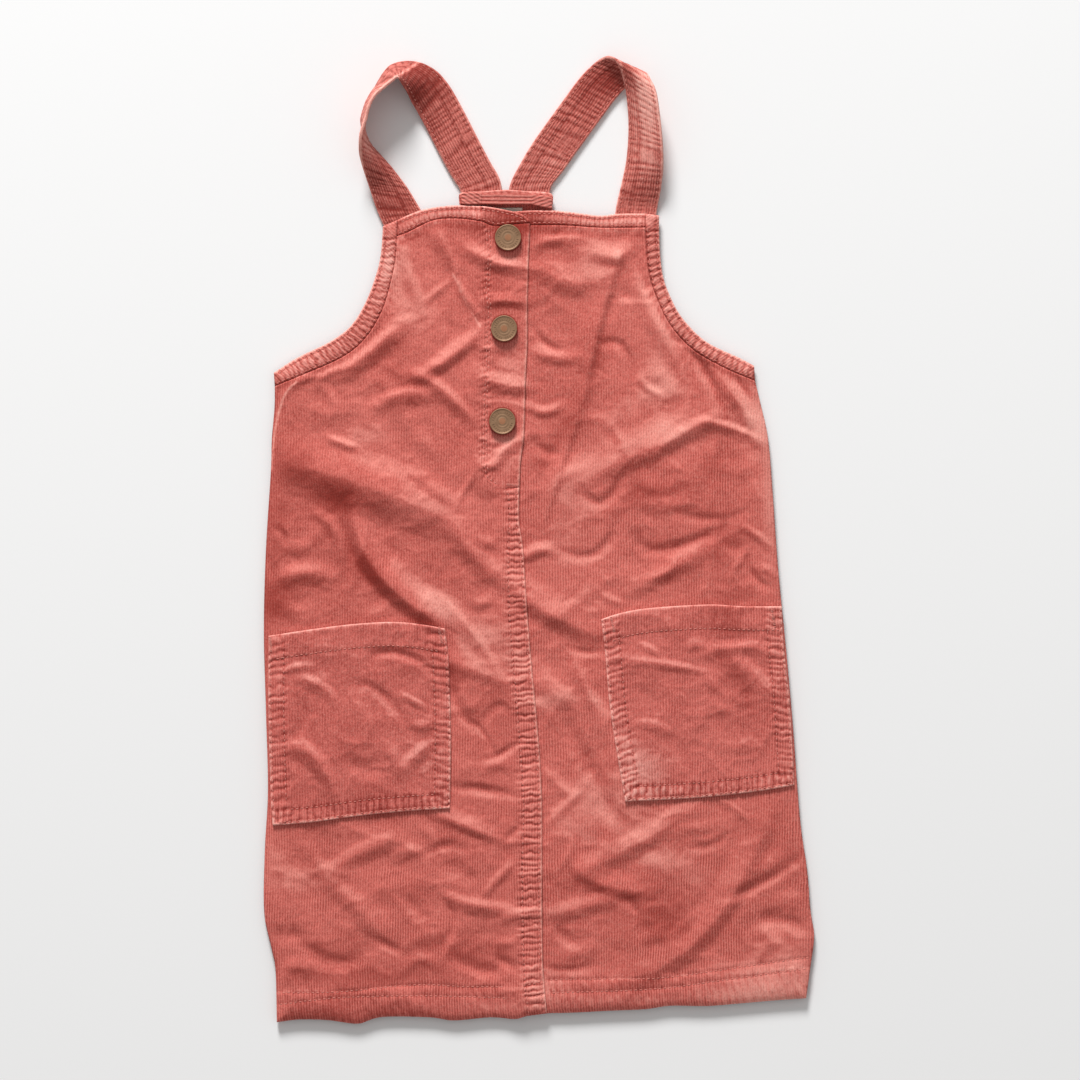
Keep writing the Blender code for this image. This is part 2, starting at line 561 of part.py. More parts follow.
def neck_label(collection):
    """The blank woven label on the inside of the back neck."""
    bm = bmesh.new()
    bmesh.ops.create_cube(bm, size=1)
    bmesh.ops.scale(bm, vec=LABEL_SIZE, verts=bm.verts)
    bmesh.ops.translate(bm, vec=LABEL_CENTRE, verts=bm.verts)
    return make_object("neck_label", finish_bmesh(bm, "neck_label"), collection, "label")


def snap_cap(name, centre, collection):
    """A snap's cap: a turned disc with a rounded rim, a ring and a sunk middle."""
    radius, height = SNAP_RADIUS, SNAP_HEIGHT
    profile = [(0, height * 0.78), (radius * 0.14, height * 0.78), (radius * 0.2, height * 0.72),
               (radius * 0.36, height * 0.74), (radius * 0.42, height * 0.84),
               (radius * 0.5, height * 0.76), (radius * 0.8, height * 0.8),
               (radius * 0.9, height), (radius * 0.97, height * 0.86), (radius, height * 0.6),
               (radius * 0.97, height * 0.3), (radius * 0.84, 0), (0, 0)]
    mesh = bpy.data.meshes.new(name)
    mesh.from_pydata([(r * MM, 0, z * MM) for r, z in profile],
                     [(k, k + 1) for k in range(len(profile) - 1)], [])
    cap = make_object(name, mesh, collection, "brass")
    turn = cap.modifiers.new("turn", "SCREW")
    turn.steps = turn.render_steps = 24
    turn.use_merge_vertices = True
    turn.merge_threshold = 0.00001
    seat = SNAP_SEAT_HEIGHT + LAP_RISE + BAND_WALL + SEAM_GAP
    cap.location = (centre[0] * MM, centre[1] * MM, seat * MM)
    return cap


def pocket_height(side_height):
    """Height of a pocket's underside, a layer above the panel it is sewn to."""
    return lambda points: side_height(points) + CORD_WALL + LAYER_GAP


def build():
    """Every piece of the dress, in its own collection."""
    for thing in list(bpy.data.objects):
        bpy.data.objects.remove(thing, do_unlink=True)
    dress = bpy.data.collections.new("pinafore_dress")
    bpy.context.scene.collection.children.link(dress)
    plan, faces = triangulate_front()

    panel("front_left", plan, faces, ["front_left"], lapped_height, CORD_WALL, dress, "cord")
    panel("front_right", plan, faces, ["front_right", "placket", "centre_lap"], front_height,
          CORD_WALL, dress, "cord")
    panel("placket", plan, faces, ["placket"], lapped_height, CORD_WALL, dress, "cord")
    panel("centre_lap", plan, faces, ["centre_lap"], lapped_height, CORD_WALL, dress, "cord")
    for name, height in (("neck_band_left", lapped_height), ("neck_band_right", front_height),
                         ("armhole_band_left", front_height),
                         ("armhole_band_right", front_height)):
        panel(name, plan, faces, [name], height, BAND_WALL, dress, "cord_band")
    for name, height in (("pocket_left", lapped_height), ("pocket_right", front_height)):
        panel(name, plan, faces, [name], pocket_height(height), POCKET_WALL, dress,
              "cord_pocket")
    for name, rows in STRAP_ROWS.items():
        ribbon(name, rows, dress)
    back_panel(dress)
    slab("back_neck_band", BAND_PLAN, BAND_BASE, BAND_TOP, dress, "cord_band")
    hanging_loop(dress)
    neck_label(dress)
    for name, centre in SNAPS.items():
        snap_cap(name, centre, dress)


build()
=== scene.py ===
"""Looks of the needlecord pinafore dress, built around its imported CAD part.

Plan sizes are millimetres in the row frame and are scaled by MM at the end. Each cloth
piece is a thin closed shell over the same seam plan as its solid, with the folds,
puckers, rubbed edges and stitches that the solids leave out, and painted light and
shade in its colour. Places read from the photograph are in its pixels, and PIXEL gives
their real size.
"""

import math

import bpy
import numpy as np
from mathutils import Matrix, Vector
from mathutils.geometry import delaunay_2d_cdt
from mathutils.kdtree import KDTree


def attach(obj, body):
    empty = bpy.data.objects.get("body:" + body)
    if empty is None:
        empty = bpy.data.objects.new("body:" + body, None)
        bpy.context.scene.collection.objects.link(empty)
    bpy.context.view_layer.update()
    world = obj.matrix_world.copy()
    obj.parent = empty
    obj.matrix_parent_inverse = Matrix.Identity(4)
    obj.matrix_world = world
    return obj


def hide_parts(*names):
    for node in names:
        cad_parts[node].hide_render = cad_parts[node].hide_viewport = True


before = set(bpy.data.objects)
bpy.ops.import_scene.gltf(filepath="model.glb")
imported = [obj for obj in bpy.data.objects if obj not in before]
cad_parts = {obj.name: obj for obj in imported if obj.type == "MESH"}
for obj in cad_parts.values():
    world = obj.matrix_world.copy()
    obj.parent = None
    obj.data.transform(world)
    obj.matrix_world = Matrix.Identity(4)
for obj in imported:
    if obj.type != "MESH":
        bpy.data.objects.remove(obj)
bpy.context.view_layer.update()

MM = 0.001
PIXEL = 0.64                # millimetres of the dress for one pixel of the photograph
PIXEL_CENTRE = (539.0, 539.5)

# ---------------------------------------------------------------- sizes shared with the solids
CORD_WALL, BAND_WALL, POCKET_WALL, BACK_WALL = 1.6, 2.1, 1.5, 1.5
SEAM_GAP, LAYER_GAP = 0.3, 0.5
LAP_RISE = CORD_WALL + LAYER_GAP
SIDE_HEIGHT, BIB_HEIGHT, NECK_HEIGHT, PUFF_HEIGHT = 1.95, 3.1, 4.0, 4.7
ROLL_WIDTH = 11.0
BIB_START, BIB_FADE = 118.0, 28.0
NECK_CENTRE, NECK_REACH = (-20, 212), (42, 16)
LAP_CLIMB = 16.0

# Seam runs: every outline of the front is put together from these
SEAMS = {
    "side_l": [(-167.7, -308.8), (-168.5, -276), (-171, -262), (-175.8, -238), (-175.4, -199),
        (-173.4, -160), (-174.7, -109), (-176, -58), (-174.7, -7), (-171.5, 44), (-170.9, 64),
        (-169.2, 84), (-169, 98)],
    "side_r": [(170.9, -293.4), (173.4, -275), (176, -254), (173.6, -237), (171.5, -211),
        (167, -179), (162.6, -122), (158.1, -71), (153, -19), (149.8, 25), (146.6, 64),
        (141.4, 88), (138.2, 101.5)],
    "end_l": [(-169, 98), (-169.6, 106.6)],
    "end_r": [(138.2, 101.5), (137.6, 111)],
    "arm_l": [(-169.6, 106.6), (-155, 116), (-134, 126.3), (-120.3, 136.6), (-110.7, 152),
        (-104, 170), (-101.1, 183), (-99.8, 200.3)],
    "arm_r": [(137.6, 111), (128, 116.2), (107, 126.4), (91.5, 141.8), (83, 157.5), (79, 170),
        (77.2, 187), (76.8, 207.2)],
    "inner_l": [(-169, 98), (-147, 107), (-125.4, 116.8), (-111.4, 128.3), (-100.5, 146),
        (-94.4, 166), (-91.6, 181), (-90.9, 193.8)],
    "inner_r": [(138.2, 101.5), (120, 109), (98.6, 121.3), (83.8, 137.3), (74.2, 157), (69.6, 174),
        (68, 199.4)],
    "corner_l": [(-99.8, 200.3), (-90.6, 204.4)],
    "corner_r": [(68.2, 208.4), (76.8, 207.2)],
    "top_l": [(-90.6, 204.4), (-75.5, 210.5), (-59.5, 213.2), (-43, 213.5), (-30, 212.2),
        (-16.6, 209.6)],
    "top_r": [(-16.6, 209.6), (-5.8, 210.3), (11, 210.2), (28, 208.3), (39, 207), (52, 208.3),
        (68.2, 208.4)],
    "lap_corner": [(-16.6, 209.6), (-10.2, 207.4), (-5.8, 203.6)],
    "mitre_l": [(-90.9, 193.8), (-90.6, 204.4)],
    "mitre_r": [(68, 199.4), (68.2, 208.4)],
    "neck_l": [(-90.9, 193.8), (-84, 196.3), (-71.7, 202.5), (-62, 205), (-49, 205), (-36, 203)],
    "neck_p": [(-36, 203), (-29.8, 200.6), (-25, 200.3), (-18.6, 201.2), (-12.2, 201.9),
        (-5.8, 202.2)],
    "neck_r": [(-5.8, 200.9), (17, 200.8), (39, 199.3), (68, 199.4)],
    "lap_tip": [(-5.8, 203.6), (-5.8, 202.2)],
    "lap_band": [(-5.8, 202.2), (-5.8, 200.9)],
    "lap_up": [(-5.8, 202.2), (-6, 195.5), (-6.8, 177), (-7.5, 148), (-7.4, 126), (-8.6, 102),
        (-9.6, 67), (-11.6, 51), (-12.6, 33.4)],
    "lap_low": [(-12.6, 33.4), (-12.8, 12), (-10.2, -6), (-7.7, -44), (-4.5, -82), (-1, -120),
        (1.6, -160), (1.9, -217), (2.4, -268), (5.1, -303)],
    "placket": [(-36, 203), (-34, 181), (-35.6, 160), (-34, 145), (-35.2, 118), (-36.5, 89),
        (-37, 62), (-36.5, 47), (-34, 38.5), (-28.5, 34.3), (-21.1, 32.4)],
    "toe": [(-21.1, 32.4), (-12.6, 33.4)],
    "strip": [(-21.1, 32.4), (-19.8, 17), (-20.5, -6), (-20.1, -44), (-17.3, -82), (-14.1, -120),
        (-10.9, -167), (-11.5, -192), (-11.5, -242), (-10.2, -281), (-7.7, -304.6)],
    "hem_l": [(-167.7, -308.8), (-154, -307), (-135, -307.4), (-116, -309.6), (-100.5, -305.4),
        (-70, -305.6), (-54.4, -307.6), (-31, -305.6), (-16, -306.6), (-7.7, -304.6)],
    "hem_lap": [(-7.7, -304.6), (5.1, -303)],
    "hem_r": [(5.1, -303), (22, -302.6), (45, -301.4), (68, -300.4), (84, -298.2), (107, -298.4),
        (130, -296.6), (153, -294.6), (170.9, -293.4)]}
# Runs that follow each other round each piece; one with a minus is taken backwards
OUTLINE_RUNS = {
    "front": "side_l end_l arm_l corner_l top_l top_r corner_r -arm_r -end_r -side_r -hem_r"
             " -hem_lap -hem_l",
    "front_left": "side_l inner_l neck_l placket strip -hem_l",
    "placket": "placket toe -lap_up -neck_p",
    "centre_lap": "toe lap_low -hem_lap -strip",
    "neck_band_left": "mitre_l top_l lap_corner lap_tip -neck_p -neck_l",
    "neck_band_right": "top_r -mitre_r -neck_r -lap_band -lap_tip -lap_corner",
    "armhole_band_left": "inner_l mitre_l -corner_l -arm_l -end_l",
    "armhole_band_right": "inner_r mitre_r corner_r -arm_r -end_r",
    "front_right": "placket strip hem_lap hem_r side_r inner_r -neck_r -lap_band -neck_p"}
# Top, inner or outer side, bottom and other side of each pocket
POCKETS = {
    "pocket_left": [
        [(-172.8, -61.5), (-145, -57.3), (-119.7, -54.1), (-93, -52.6), (-74, -54.4),
         (-60.2, -56.8)],
        [(-60.2, -56.8), (-57.6, -80), (-56.3, -130), (-57, -171.8)],
        [(-57, -171.8), (-85, -173.6), (-113, -176.3), (-144, -180.5), (-170.2, -182.7)],
        [(-170.2, -182.7), (-171.6, -160), (-172.9, -109), (-172.8, -61.5)]],
    "pocket_right": [
        [(39.7, -50.9), (52, -47), (70.4, -43.8), (107.5, -41.5), (131, -42.6), (155.2, -42.6)],
        [(155.2, -42.6), (156.2, -65), (160, -101), (162.2, -135), (163.2, -157)],
        [(163.2, -157), (135.7, -161.4), (98.6, -165.2), (55, -167.4)],
        [(55, -167.4), (49, -132), (44.8, -102.7), (42, -70), (39.7, -50.9)]]}

# Folds and creases of the front, larger ones first in each part:
#   start, middle, end (px), rise (mm), width to the left and right of its way (mm), keenness
FOLDS = [
    # bib, left half
    (436, 226, 444, 246, 456, 268, 2, 6, 9, .4), (455, 266, 463, 292, 480, 316, 1.6, 4, 4, .8),
    (462, 246, 492, 261, 530, 270, 2.4, 8, 8, .3), (480, 300, 505, 302, 530, 303, 1.4, 7, 6, .3),
    (476, 376, 500, 384, 528, 388, 2, 9, 8, .2), (480, 403, 505, 404, 528, 408, .8, 3, 3, .3),
    (497, 459, 508, 446, 527, 435, 1.8, 5, 7, .4), (418, 377, 450, 358, 482, 330, 2.4, 8, 7, .3),
    (410, 373, 440, 388, 474, 422, 2, 6, 8, .5), (372, 412, 396, 396, 436, 396, 1.4, 6, 9, 0),
    (338, 374, 368, 354, 403, 322, 2.6, 7, 10, .3),
    (272, 447, 279, 405, 292, 386, 1.4, 4, 5, .8), (292, 387, 303, 380, 321, 376, 1.1, 4, 4, .5),
    (316, 384, 330, 373, 346, 368, 1, 4, 4, .3), (326, 436, 342, 443, 359, 448, 1.6, 4, 5, .5),
    (404, 246, 408, 270, 424, 312, 1.6, 6, 7, .1), (425, 302, 440, 290, 452, 280, .9, 4, 4, .2),
    (395, 390, 412, 430, 440, 452, 1, 9, 9, 0), (318, 384, 334, 402, 332, 420, .8, 5, 5, 0),
    (476, 346, 488, 348, 500, 344, .9, 4, 4, .2), (478, 436, 494, 442, 510, 438, 1, 4, 4, .3),
    (478, 462, 490, 466, 502, 458, 1.2, 5, 5, .2), (482, 416, 490, 428, 484, 440, .8, 4, 4, .2),
    (446, 318, 452, 330, 448, 344, -.8, 5, 5, 0),
    # bib, right half
    (536, 260, 562, 281, 593, 281, 2.4, 15, 12, .35),
    (530, 248, 556, 240, 582, 240, 1.12, 4, 6, .4),
    (594, 250, 612, 257, 634, 246, 1.92, 10, 8, .3),
    (620, 256, 600, 320, 578, 420, 1.76, 5, 15, .4),
    (578, 418, 560, 470, 545, 522, 1.2, 4, 10, .5),
    (602, 344, 627, 354, 633, 412, -1.36, 5, 5, .3),
    (628, 260, 652, 316, 683, 374, 1.92, 6, 10, .2),
    (676, 340, 703, 368, 724, 419, -1.76, 5, 6, .4),
    (716, 372, 738, 402, 760, 442, 2.08, 8, 7, .2),
    (734, 378, 744, 390, 752, 402, -.96, 4, 4, .3),
    (564, 486, 628, 458, 718, 415, 2.04, 19, 11, .2),
    (652, 457, 678, 436, 718, 415, 1.12, 6, 8, .5),
    (700, 421, 734, 429, 766, 445, 1.44, 4, 7, .5),
    (529, 349, 550, 357, 577, 359, 1.2, 7, 6, .2),
    (533, 328, 547, 345, 562, 351, -.96, 4, 4, .3),
    (526, 404, 544, 412, 563, 404, 1.2, 5, 5, .1),
    (640, 378, 650, 390, 664, 395, .88, 4, 4, .2),
    (612, 424, 622, 445, 633, 463, .66, 5, 5, .3),
    (556, 485, 568, 474, 585, 468, .78, 6, 6, .1),
    (640, 300, 616, 300, 606, 330, -.72, 7, 7, 0),
    (532, 438, 546, 452, 560, 450, -.78, 6, 6, .1),
    (655, 372, 668, 384, 672, 404, .96, 8, 8, 0), (700, 445, 706, 470, 703, 500, -.6, 6, 6, 0),
    (738, 444, 752, 478, 758, 512, .84, 8, 8, 0),
    # waist, left half
    (276, 461, 354, 482, 456, 522, 5, 25, 21, .25),
    (452, 516, 468, 548, 500, 579, 2.58, 10, 11, .2),
    (355, 507, 376, 570, 440, 622, 4.6, 18, 9, .4),
    (440, 596, 478, 640, 504, 685, 1.2, 5, 9, .6),
    (446, 660, 474, 669, 504, 683, 1.35, 9, 8, .2),
    (277, 581, 300, 573, 328, 575, 2.02, 9, 10, .3),
    (314, 510, 336, 532, 341, 562, 1.2, 6, 6, .2), (458, 500, 466, 488, 474, 474, 1, 4, 4, .3),
    (277, 528, 284, 536, 286, 548, -1.1, 4, 4, .2), (282, 540, 300, 548, 318, 532, .83, 7, 7, 0),
    (346, 500, 352, 540, 348, 580, -.92, 7, 7, 0), (470, 528, 484, 542, 496, 540, 1.1, 6, 6, .1),
    (412, 470, 436, 490, 462, 508, 1.2, 9, 6, .2), (392, 600, 380, 612, 366, 616, .6, 6, 6, 0),
    (286, 600, 296, 612, 310, 606, .75, 7, 7, 0),
    (264, 556, 272, 566, 276, 580, -.83, 5, 5, .1),
    (462, 690, 470, 706, 480, 700, .68, 6, 5, .1),
    (470, 594, 478, 604, 492, 596, .83, 6, 6, .1),
    # waist, right half
    (508, 583, 552, 615, 606, 637, 2.64, 17, 10, .4),
    (580, 488, 602, 502, 624, 474, -1.08, 6, 6, .2),
    (562, 550, 596, 553, 617, 521, -1.02, 5, 6, .3),
    (636, 538, 668, 549, 734, 521, -1.32, 6, 7, .4),
    (628, 593, 664, 573, 708, 549, 1.32, 9, 8, .3),
    (676, 512, 712, 519, 746, 511, -.9, 5, 6, .3),
    (741, 525, 758, 536, 775, 551, 1.14, 4, 5, .6),
    (747, 553, 754, 576, 776, 590, -.96, 4, 5, .3),
    (760, 566, 770, 571, 781, 581, 1.08, 4, 5, .5),
    (730, 578, 738, 563, 748, 548, .66, 4, 4, .4),
    (596, 590, 608, 598, 627, 606, .66, 4, 4, .3),
    (524, 560, 538, 550, 553, 552, 1.66, 7, 6, .2),
    (570, 655, 588, 690, 607, 738, 1.44, 7, 9, .4),
    (534, 674, 556, 695, 582, 701, 1.44, 11, 9, .2),
    (570, 648, 585, 652, 602, 651, -.78, 4, 4, .4),
    (578, 600, 566, 612, 556, 620, .6, 6, 6, .1), (700, 580, 704, 560, 700, 546, -.54, 6, 6, 0),
    (640, 500, 660, 506, 690, 500, .66, 8, 8, 0),
    (724, 538, 730, 548, 744, 546, -.78, 6, 6, .2),
    (640, 480, 662, 488, 690, 474, .54, 7, 7, 0), (536, 636, 548, 650, 560, 640, .54, 7, 7, 0),
    (764, 480, 770, 510, 770, 530, .54, 6, 5, 0),
    # beside the pockets
    (452, 664, 456, 700, 472, 728, -1.5, 6, 5, .4),
    (470, 722, 482, 730, 493, 750, -1.05, 3, 4, .5),
    (488, 760, 504, 752, 522, 740, -1.05, 4, 4, .6),
    (483, 722, 498, 706, 512, 714, -.83, 5, 5, .1),
    (450, 788, 482, 789, 517, 797, -1.35, 5, 6, .3),
    (432, 812, 470, 827, 504, 841, 1.95, 10, 6, .5),
    (484, 770, 496, 764, 510, 768, .9, 7, 6, .1),
    (505, 840, 512, 834, 520, 826, -.9, 4, 4, .3),
    (570, 728, 592, 772, 616, 820, -1.56, 8, 9, .2),
    (542, 766, 558, 784, 575, 799, .96, 6, 6, .5),
    (547, 825, 564, 806, 585, 787, .96, 5, 6, .6), (588, 770, 600, 790, 610, 800, .6, 8, 8, 0),
    (560, 706, 570, 724, 566, 744, -.96, 9, 9, .1),
    (604, 822, 612, 838, 600, 850, .54, 8, 8, 0),
    # left pocket
    (297, 678, 318, 684, 337, 701, 1.2, 5, 7, .5),
    (352, 686, 378, 691, 410, 726, -1.2, 6, 6, .3),
    (402, 694, 414, 700, 426, 707, .9, 3, 5, .3),
    (370, 655, 402, 654, 431, 669, -1.12, 5, 5, .3),
    (282, 674, 292, 668, 312, 665, .9, 4, 5, .2), (282, 750, 313, 755, 337, 799, 1.8, 8, 9, .3),
    (402, 773, 413, 757, 435, 741, 1.35, 6, 8, .3),
    (346, 752, 362, 768, 384, 764, -1.2, 9, 9, .1), (356, 700, 366, 722, 364, 742, .9, 8, 8, 0),
    (386, 740, 396, 760, 398, 776, .9, 7, 6, .1), (300, 700, 304, 722, 292, 736, -.83, 8, 8, 0),
    (408, 720, 420, 726, 432, 722, .75, 5, 5, .2),
    # right pocket
    (706, 655, 730, 647, 773, 651, 1.2, 6, 7, .3),
    (722, 650, 750, 672, 779, 702, 1.44, 8, 13, .3),
    (632, 660, 662, 663, 706, 672, .9, 4, 5, .5),
    (686, 652, 696, 644, 706, 650, .72, 6, 6, .1),
    (698, 718, 712, 705, 729, 716, .78, 9, 7, .1),
    (640, 646, 650, 648, 660, 654, .6, 4, 4, .2), (664, 736, 676, 744, 682, 760, -.72, 8, 8, 0),
    (706, 676, 718, 690, 734, 700, .66, 6, 6, .2),
    (628, 726, 654, 724, 672, 738, .72, 5, 6, .1), (716, 742, 738, 748, 756, 736, .6, 8, 8, 0),
    (640, 690, 652, 704, 650, 720, -.54, 7, 7, 0),
    # skirt, right half
    (582, 869, 632, 846, 696, 807, 1.92, 11, 10, .3),
    (573, 862, 602, 884, 652, 891, 1.68, 13, 7, .4),
    (618, 979, 706, 930, 772, 805, 2.4, 16, 10, .4),
    (722, 897, 758, 885, 807, 853, -1.2, 7, 5, .4),
    (752, 926, 780, 919, 813, 934, -1.32, 9, 8, .3),
    (544, 913, 572, 909, 614, 899, 1.56, 8, 8, .3),
    (674, 838, 690, 828, 713, 826, .84, 6, 6, .3),
    (717, 799, 732, 806, 749, 821, .66, 3, 4, .4),
    (688, 846, 710, 845, 728, 832, -.72, 5, 5, .2),
    (540, 962, 566, 969, 595, 964, -.84, 4, 5, .4),
    (551, 836, 571, 842, 556, 872, .6, 4, 4, .2),
    (578, 840, 577, 858, 572, 874, -.72, 4, 4, .3),
    (620, 900, 634, 906, 640, 924, -.72, 6, 6, .1),
    (640, 945, 652, 935, 668, 934, .54, 7, 7, 0),
    (556, 922, 564, 936, 580, 944, -.84, 6, 6, .1),
    (690, 858, 690, 880, 700, 900, .84, 9, 9, .1),
    (748, 866, 764, 868, 780, 850, .54, 7, 6, .1),
    (756, 930, 776, 944, 782, 980, .84, 8, 8, .1),
    (640, 855, 660, 868, 672, 880, .54, 10, 10, 0),
    (560, 950, 580, 953, 602, 944, .66, 7, 7, .1), (770, 905, 786, 898, 805, 900, .54, 7, 7, 0),
    (700, 975, 730, 968, 760, 972, .42, 6, 6, 0),
    # skirt, left half
    (440, 894, 474, 904, 513, 909, 1.65, 6, 8, .3),
    (499, 921, 522, 913, 546, 913, 1.35, 6, 7, .2),
    (325, 885, 350, 858, 394, 837, 1.35, 8, 10, .2),
    (395, 857, 408, 850, 422, 853, .98, 5, 7, .2),
    (299, 831, 322, 870, 346, 896, 1.12, 8, 9, .2),
    (340, 886, 363, 913, 389, 939, 1.65, 11, 10, .2),
    (482, 897, 498, 878, 515, 861, 1.12, 5, 5, .4),
    (443, 897, 452, 922, 440, 950, -1.27, 5, 6, .3),
    (404, 969, 420, 958, 437, 965, .83, 6, 6, .1),
    (299, 937, 334, 961, 368, 950, -1.12, 7, 8, .1),
    (278, 990, 291, 967, 318, 972, 1.05, 8, 8, .1),
    (494, 950, 506, 962, 520, 966, -1.12, 6, 6, .2),
    (421, 857, 442, 846, 466, 848, -.9, 5, 5, .1),
    (372, 936, 386, 944, 402, 952, -.9, 5, 5, .2),
    (448, 860, 460, 872, 480, 878, -.98, 9, 9, 0),
    (400, 896, 414, 906, 424, 922, -1.05, 8, 7, .1),
    (418, 826, 432, 838, 428, 852, .75, 6, 6, .1), (270, 864, 290, 884, 292, 912, .68, 9, 9, 0),
    (452, 955, 480, 970, 500, 966, -.98, 7, 6, .1),
    (405, 944, 424, 936, 444, 934, .68, 6, 7, .1),
    (262, 930, 280, 936, 300, 930, -.68, 8, 8, 0), (520, 934, 508, 942, 496, 938, .6, 5, 5, 0)]
# Soft crumple between the creases: size and rise (mm), seed
CRUMPLES = [(34, 0.50, 11), (17, 0.26, 12), (9, 0.15, 13), (5.5, 0.09, 14)]

SNAPS = {"snap_top": (-19.8, 192.8), "snap_middle": (-22.3, 134.7), "snap_bottom": (-23.4, 75.5)}
SNAP_RADIUS, SNAP_HEIGHT = 8.4, 3.0
SNAP_SEAT_RADIUS, SNAP_SEAT_FADE, SNAP_SEAT_HEIGHT = 9.6, 10.0, 4.7
# Radius and height of a snap's face, as shares of the whole
SNAP_PROFILE = [
    (0.12, 0.86), (0.24, 0.85), (0.31, 0.83), (0.35, 0.79), (0.39, 0.82), (0.45, 0.85),
    (0.51, 0.84), (0.55, 0.8), (0.59, 0.83), (0.66, 0.84), (0.76, 0.84), (0.85, 0.85),
    (0.885, 0.88), (0.915, 0.94), (0.945, 0.97), (0.97, 0.95), (0.99, 0.86), (1, 0.66),
    (0.99, 0.36), (0.96, 0.14), (0.9, 0)]
COPPER_RADIUS = 0.26
TICKS = 26                  # generic marks round the cap; sizes as shares of the radius
TICK_INNER, TICK_MIDDLE, TICK_OUTER, TICK_HALF = 0.655, 0.735, 0.80, 0.032

STRAP_WIDTH, STRAP_WALL = 26.5, 2.4
STRAP_SEWN = 2.4            # from the strap's edge to its row of stitches
# One edge and the other: x, y, z of each, from the front's neck over the loop to the back
STRAP_ROWS = {
    "strap_left": [
        (-96.6, 196.8, 1.5, -72.3, 203.8, 1.5), (-99.8, 202.6, 1.5, -74.9, 209, 1.5),
        (-104.3, 213.4, 2.2, -78.7, 215.4, 1.5), (-109.4, 228.2, 5, -83.8, 224.3, 1.6),
        (-113.3, 241, 14.6, -91.5, 234.6, 1.7), (-113.9, 249.9, 22.5, -101.1, 244.8, 1.2),
        (-113.3, 258.2, 26, -108.8, 253.8, 0.6), (-110.3, 267.2, 26.6, -113.3, 265.9, 0.4),
        (-108.2, 275.5, 26.6, -112.3, 273.6, 0.4), (-104.3, 282.6, 26.4, -109.1, 282.2, 0.4),
        (-98.6, 287.7, 26.2, -104.3, 289.6, 0.5), (-93.4, 291.8, 25.8, -99.8, 297.3, 0.6),
        (-90.2, 294.1, 25.2, -94.7, 302.9, 0.8), (-88.3, 292.2, 24, -85.8, 305.6, 1),
        (-86.4, 289, 19.8, -75.5, 304.8, 1.3), (-83.8, 284.5, 14.2, -67.2, 300.8, 1.5),
        (-81.3, 279.4, 8.2, -61.4, 295.4, 1.6), (-77.4, 272.3, 3.6, -55, 287, 1.5),
        (-71, 260.2, 1.5, -47.4, 273.6, 1.5), (-63.4, 245.4, 1.5, -39, 257, 1.5),
        (-56.3, 232, 1.5, -30.7, 241.6, 1.5), (-51.2, 224.6, 1.5, -25, 231, 1.5),
        (-49.9, 219, 1.5, -22.9, 219, 1.5)],
    "strap_right": [
        (46.7, 197.6, 1.5, 74.2, 197.6, 1.5), (47.7, 206.3, 1.5, 75.6, 207, 1.5),
        (49.3, 214.7, 1.6, 76.6, 214.7, 2.4), (53.1, 225.6, 1.7, 77.4, 226.2, 7),
        (56.3, 239.7, 1.8, 78.4, 238.4, 12.5), (57.3, 254.4, 2.2, 78.7, 249.9, 16.2),
        (57.3, 268.5, 3.6, 78.1, 260.2, 17.8), (56.3, 281.3, 5.6, 76.8, 271, 18.8),
        (55, 291.5, 8, 75.2, 280.6, 19.4), (51.8, 300.5, 10.8, 73.9, 287.7, 18.6),
        (47.6, 306, 12, 71.9, 292.8, 15.6), (43.4, 308.4, 10, 69.2, 296.6, 11.6),
        (39.6, 307.6, 5.6, 64.4, 297, 6.6), (33.9, 303, 2.6, 57, 290.9, 2.8),
        (26.2, 295.5, 1.5, 48.6, 281.3, 1.5), (17.3, 283.8, 1.5, 39.7, 269.1, 1.5),
        (7.7, 270.4, 1.5, 29.8, 255.6, 1.5), (-2.6, 256, 1.5, 20.2, 242.2, 1.5),
        (-11.5, 241, 1.5, 13.6, 233.4, 1.5), (-18.4, 228, 1.5, 8.4, 226.4, 1.5),
        (-20.4, 219, 1.5, 7, 219, 1.5)]}
STRAP_FOLD = {"strap_left": 4.0, "strap_right": -4.2}   # the strap's inner seam, off its middle
STRAP_PAINTED_LIGHT = [
    # as the zones of the front, for the straps: painted shade (-) where a strap turns from the
    # lamp or lies under its own turn, painted light (+) where it faces the lamp
    (412, 92, 15, 15, -1), (434, 86, 22, 20, -0.6), (430, 126, 18, 24, -0.5),
    (396, 206, 20, 18, -0.65), (380, 176, 12, 22, -0.45), (366, 140, 9, 24, 0.6),
    (376, 96, 10, 12, 0.35), (612, 82, 15, 16, -1), (588, 92, 18, 24, -0.55),
    (572, 130, 22, 24, -0.25), (462, 150, 24, 34, -0.12), (428, 66, 20, 12, -0.5),
    (649, 92, 15, 36, 0.95), (652, 135, 12, 30, 0.3), (650, 160, 14, 20, 0.15),
    (640, 194, 20, 12, -0.3)]
STRAP_RIMS = [
    # a painted highlight (+) along an edge that crosses the strap where it turns over, with
    # painted shade (-) beside it: line in the photograph, half width, tone
    ([(372, 108), (384, 92), (400, 79), (411, 69), (419, 63)], 1, 1.1),
    ([(403, 80), (413, 72), (421, 66)], 1.6, -0.5), ([(617, 60), (622, 70), (625, 84)], 0.9, 0.9)]
BACK_INSET = 1.6
BACK_MOST, BACK_FADE = 1.1, 14.0    # how far the back lifts at most, and its flat border
BACK_HEM_LEFT, BACK_HEM_RIGHT = -304.5, -290.5
BACK_HEM_MIDDLE = [(-80, -301), (0, -298), (90, -294)]
RACER_LEFT = [(-167.4, 98), (-140, 104), (-104, 122), (-76, 150), (-59, 182), (-51.4, 205),
    (-50.2, 218.2)]
RACER_RIGHT = [(8, 218.2), (9.6, 205), (17, 182), (38, 150), (66, 123), (106, 105), (136.4, 100)]
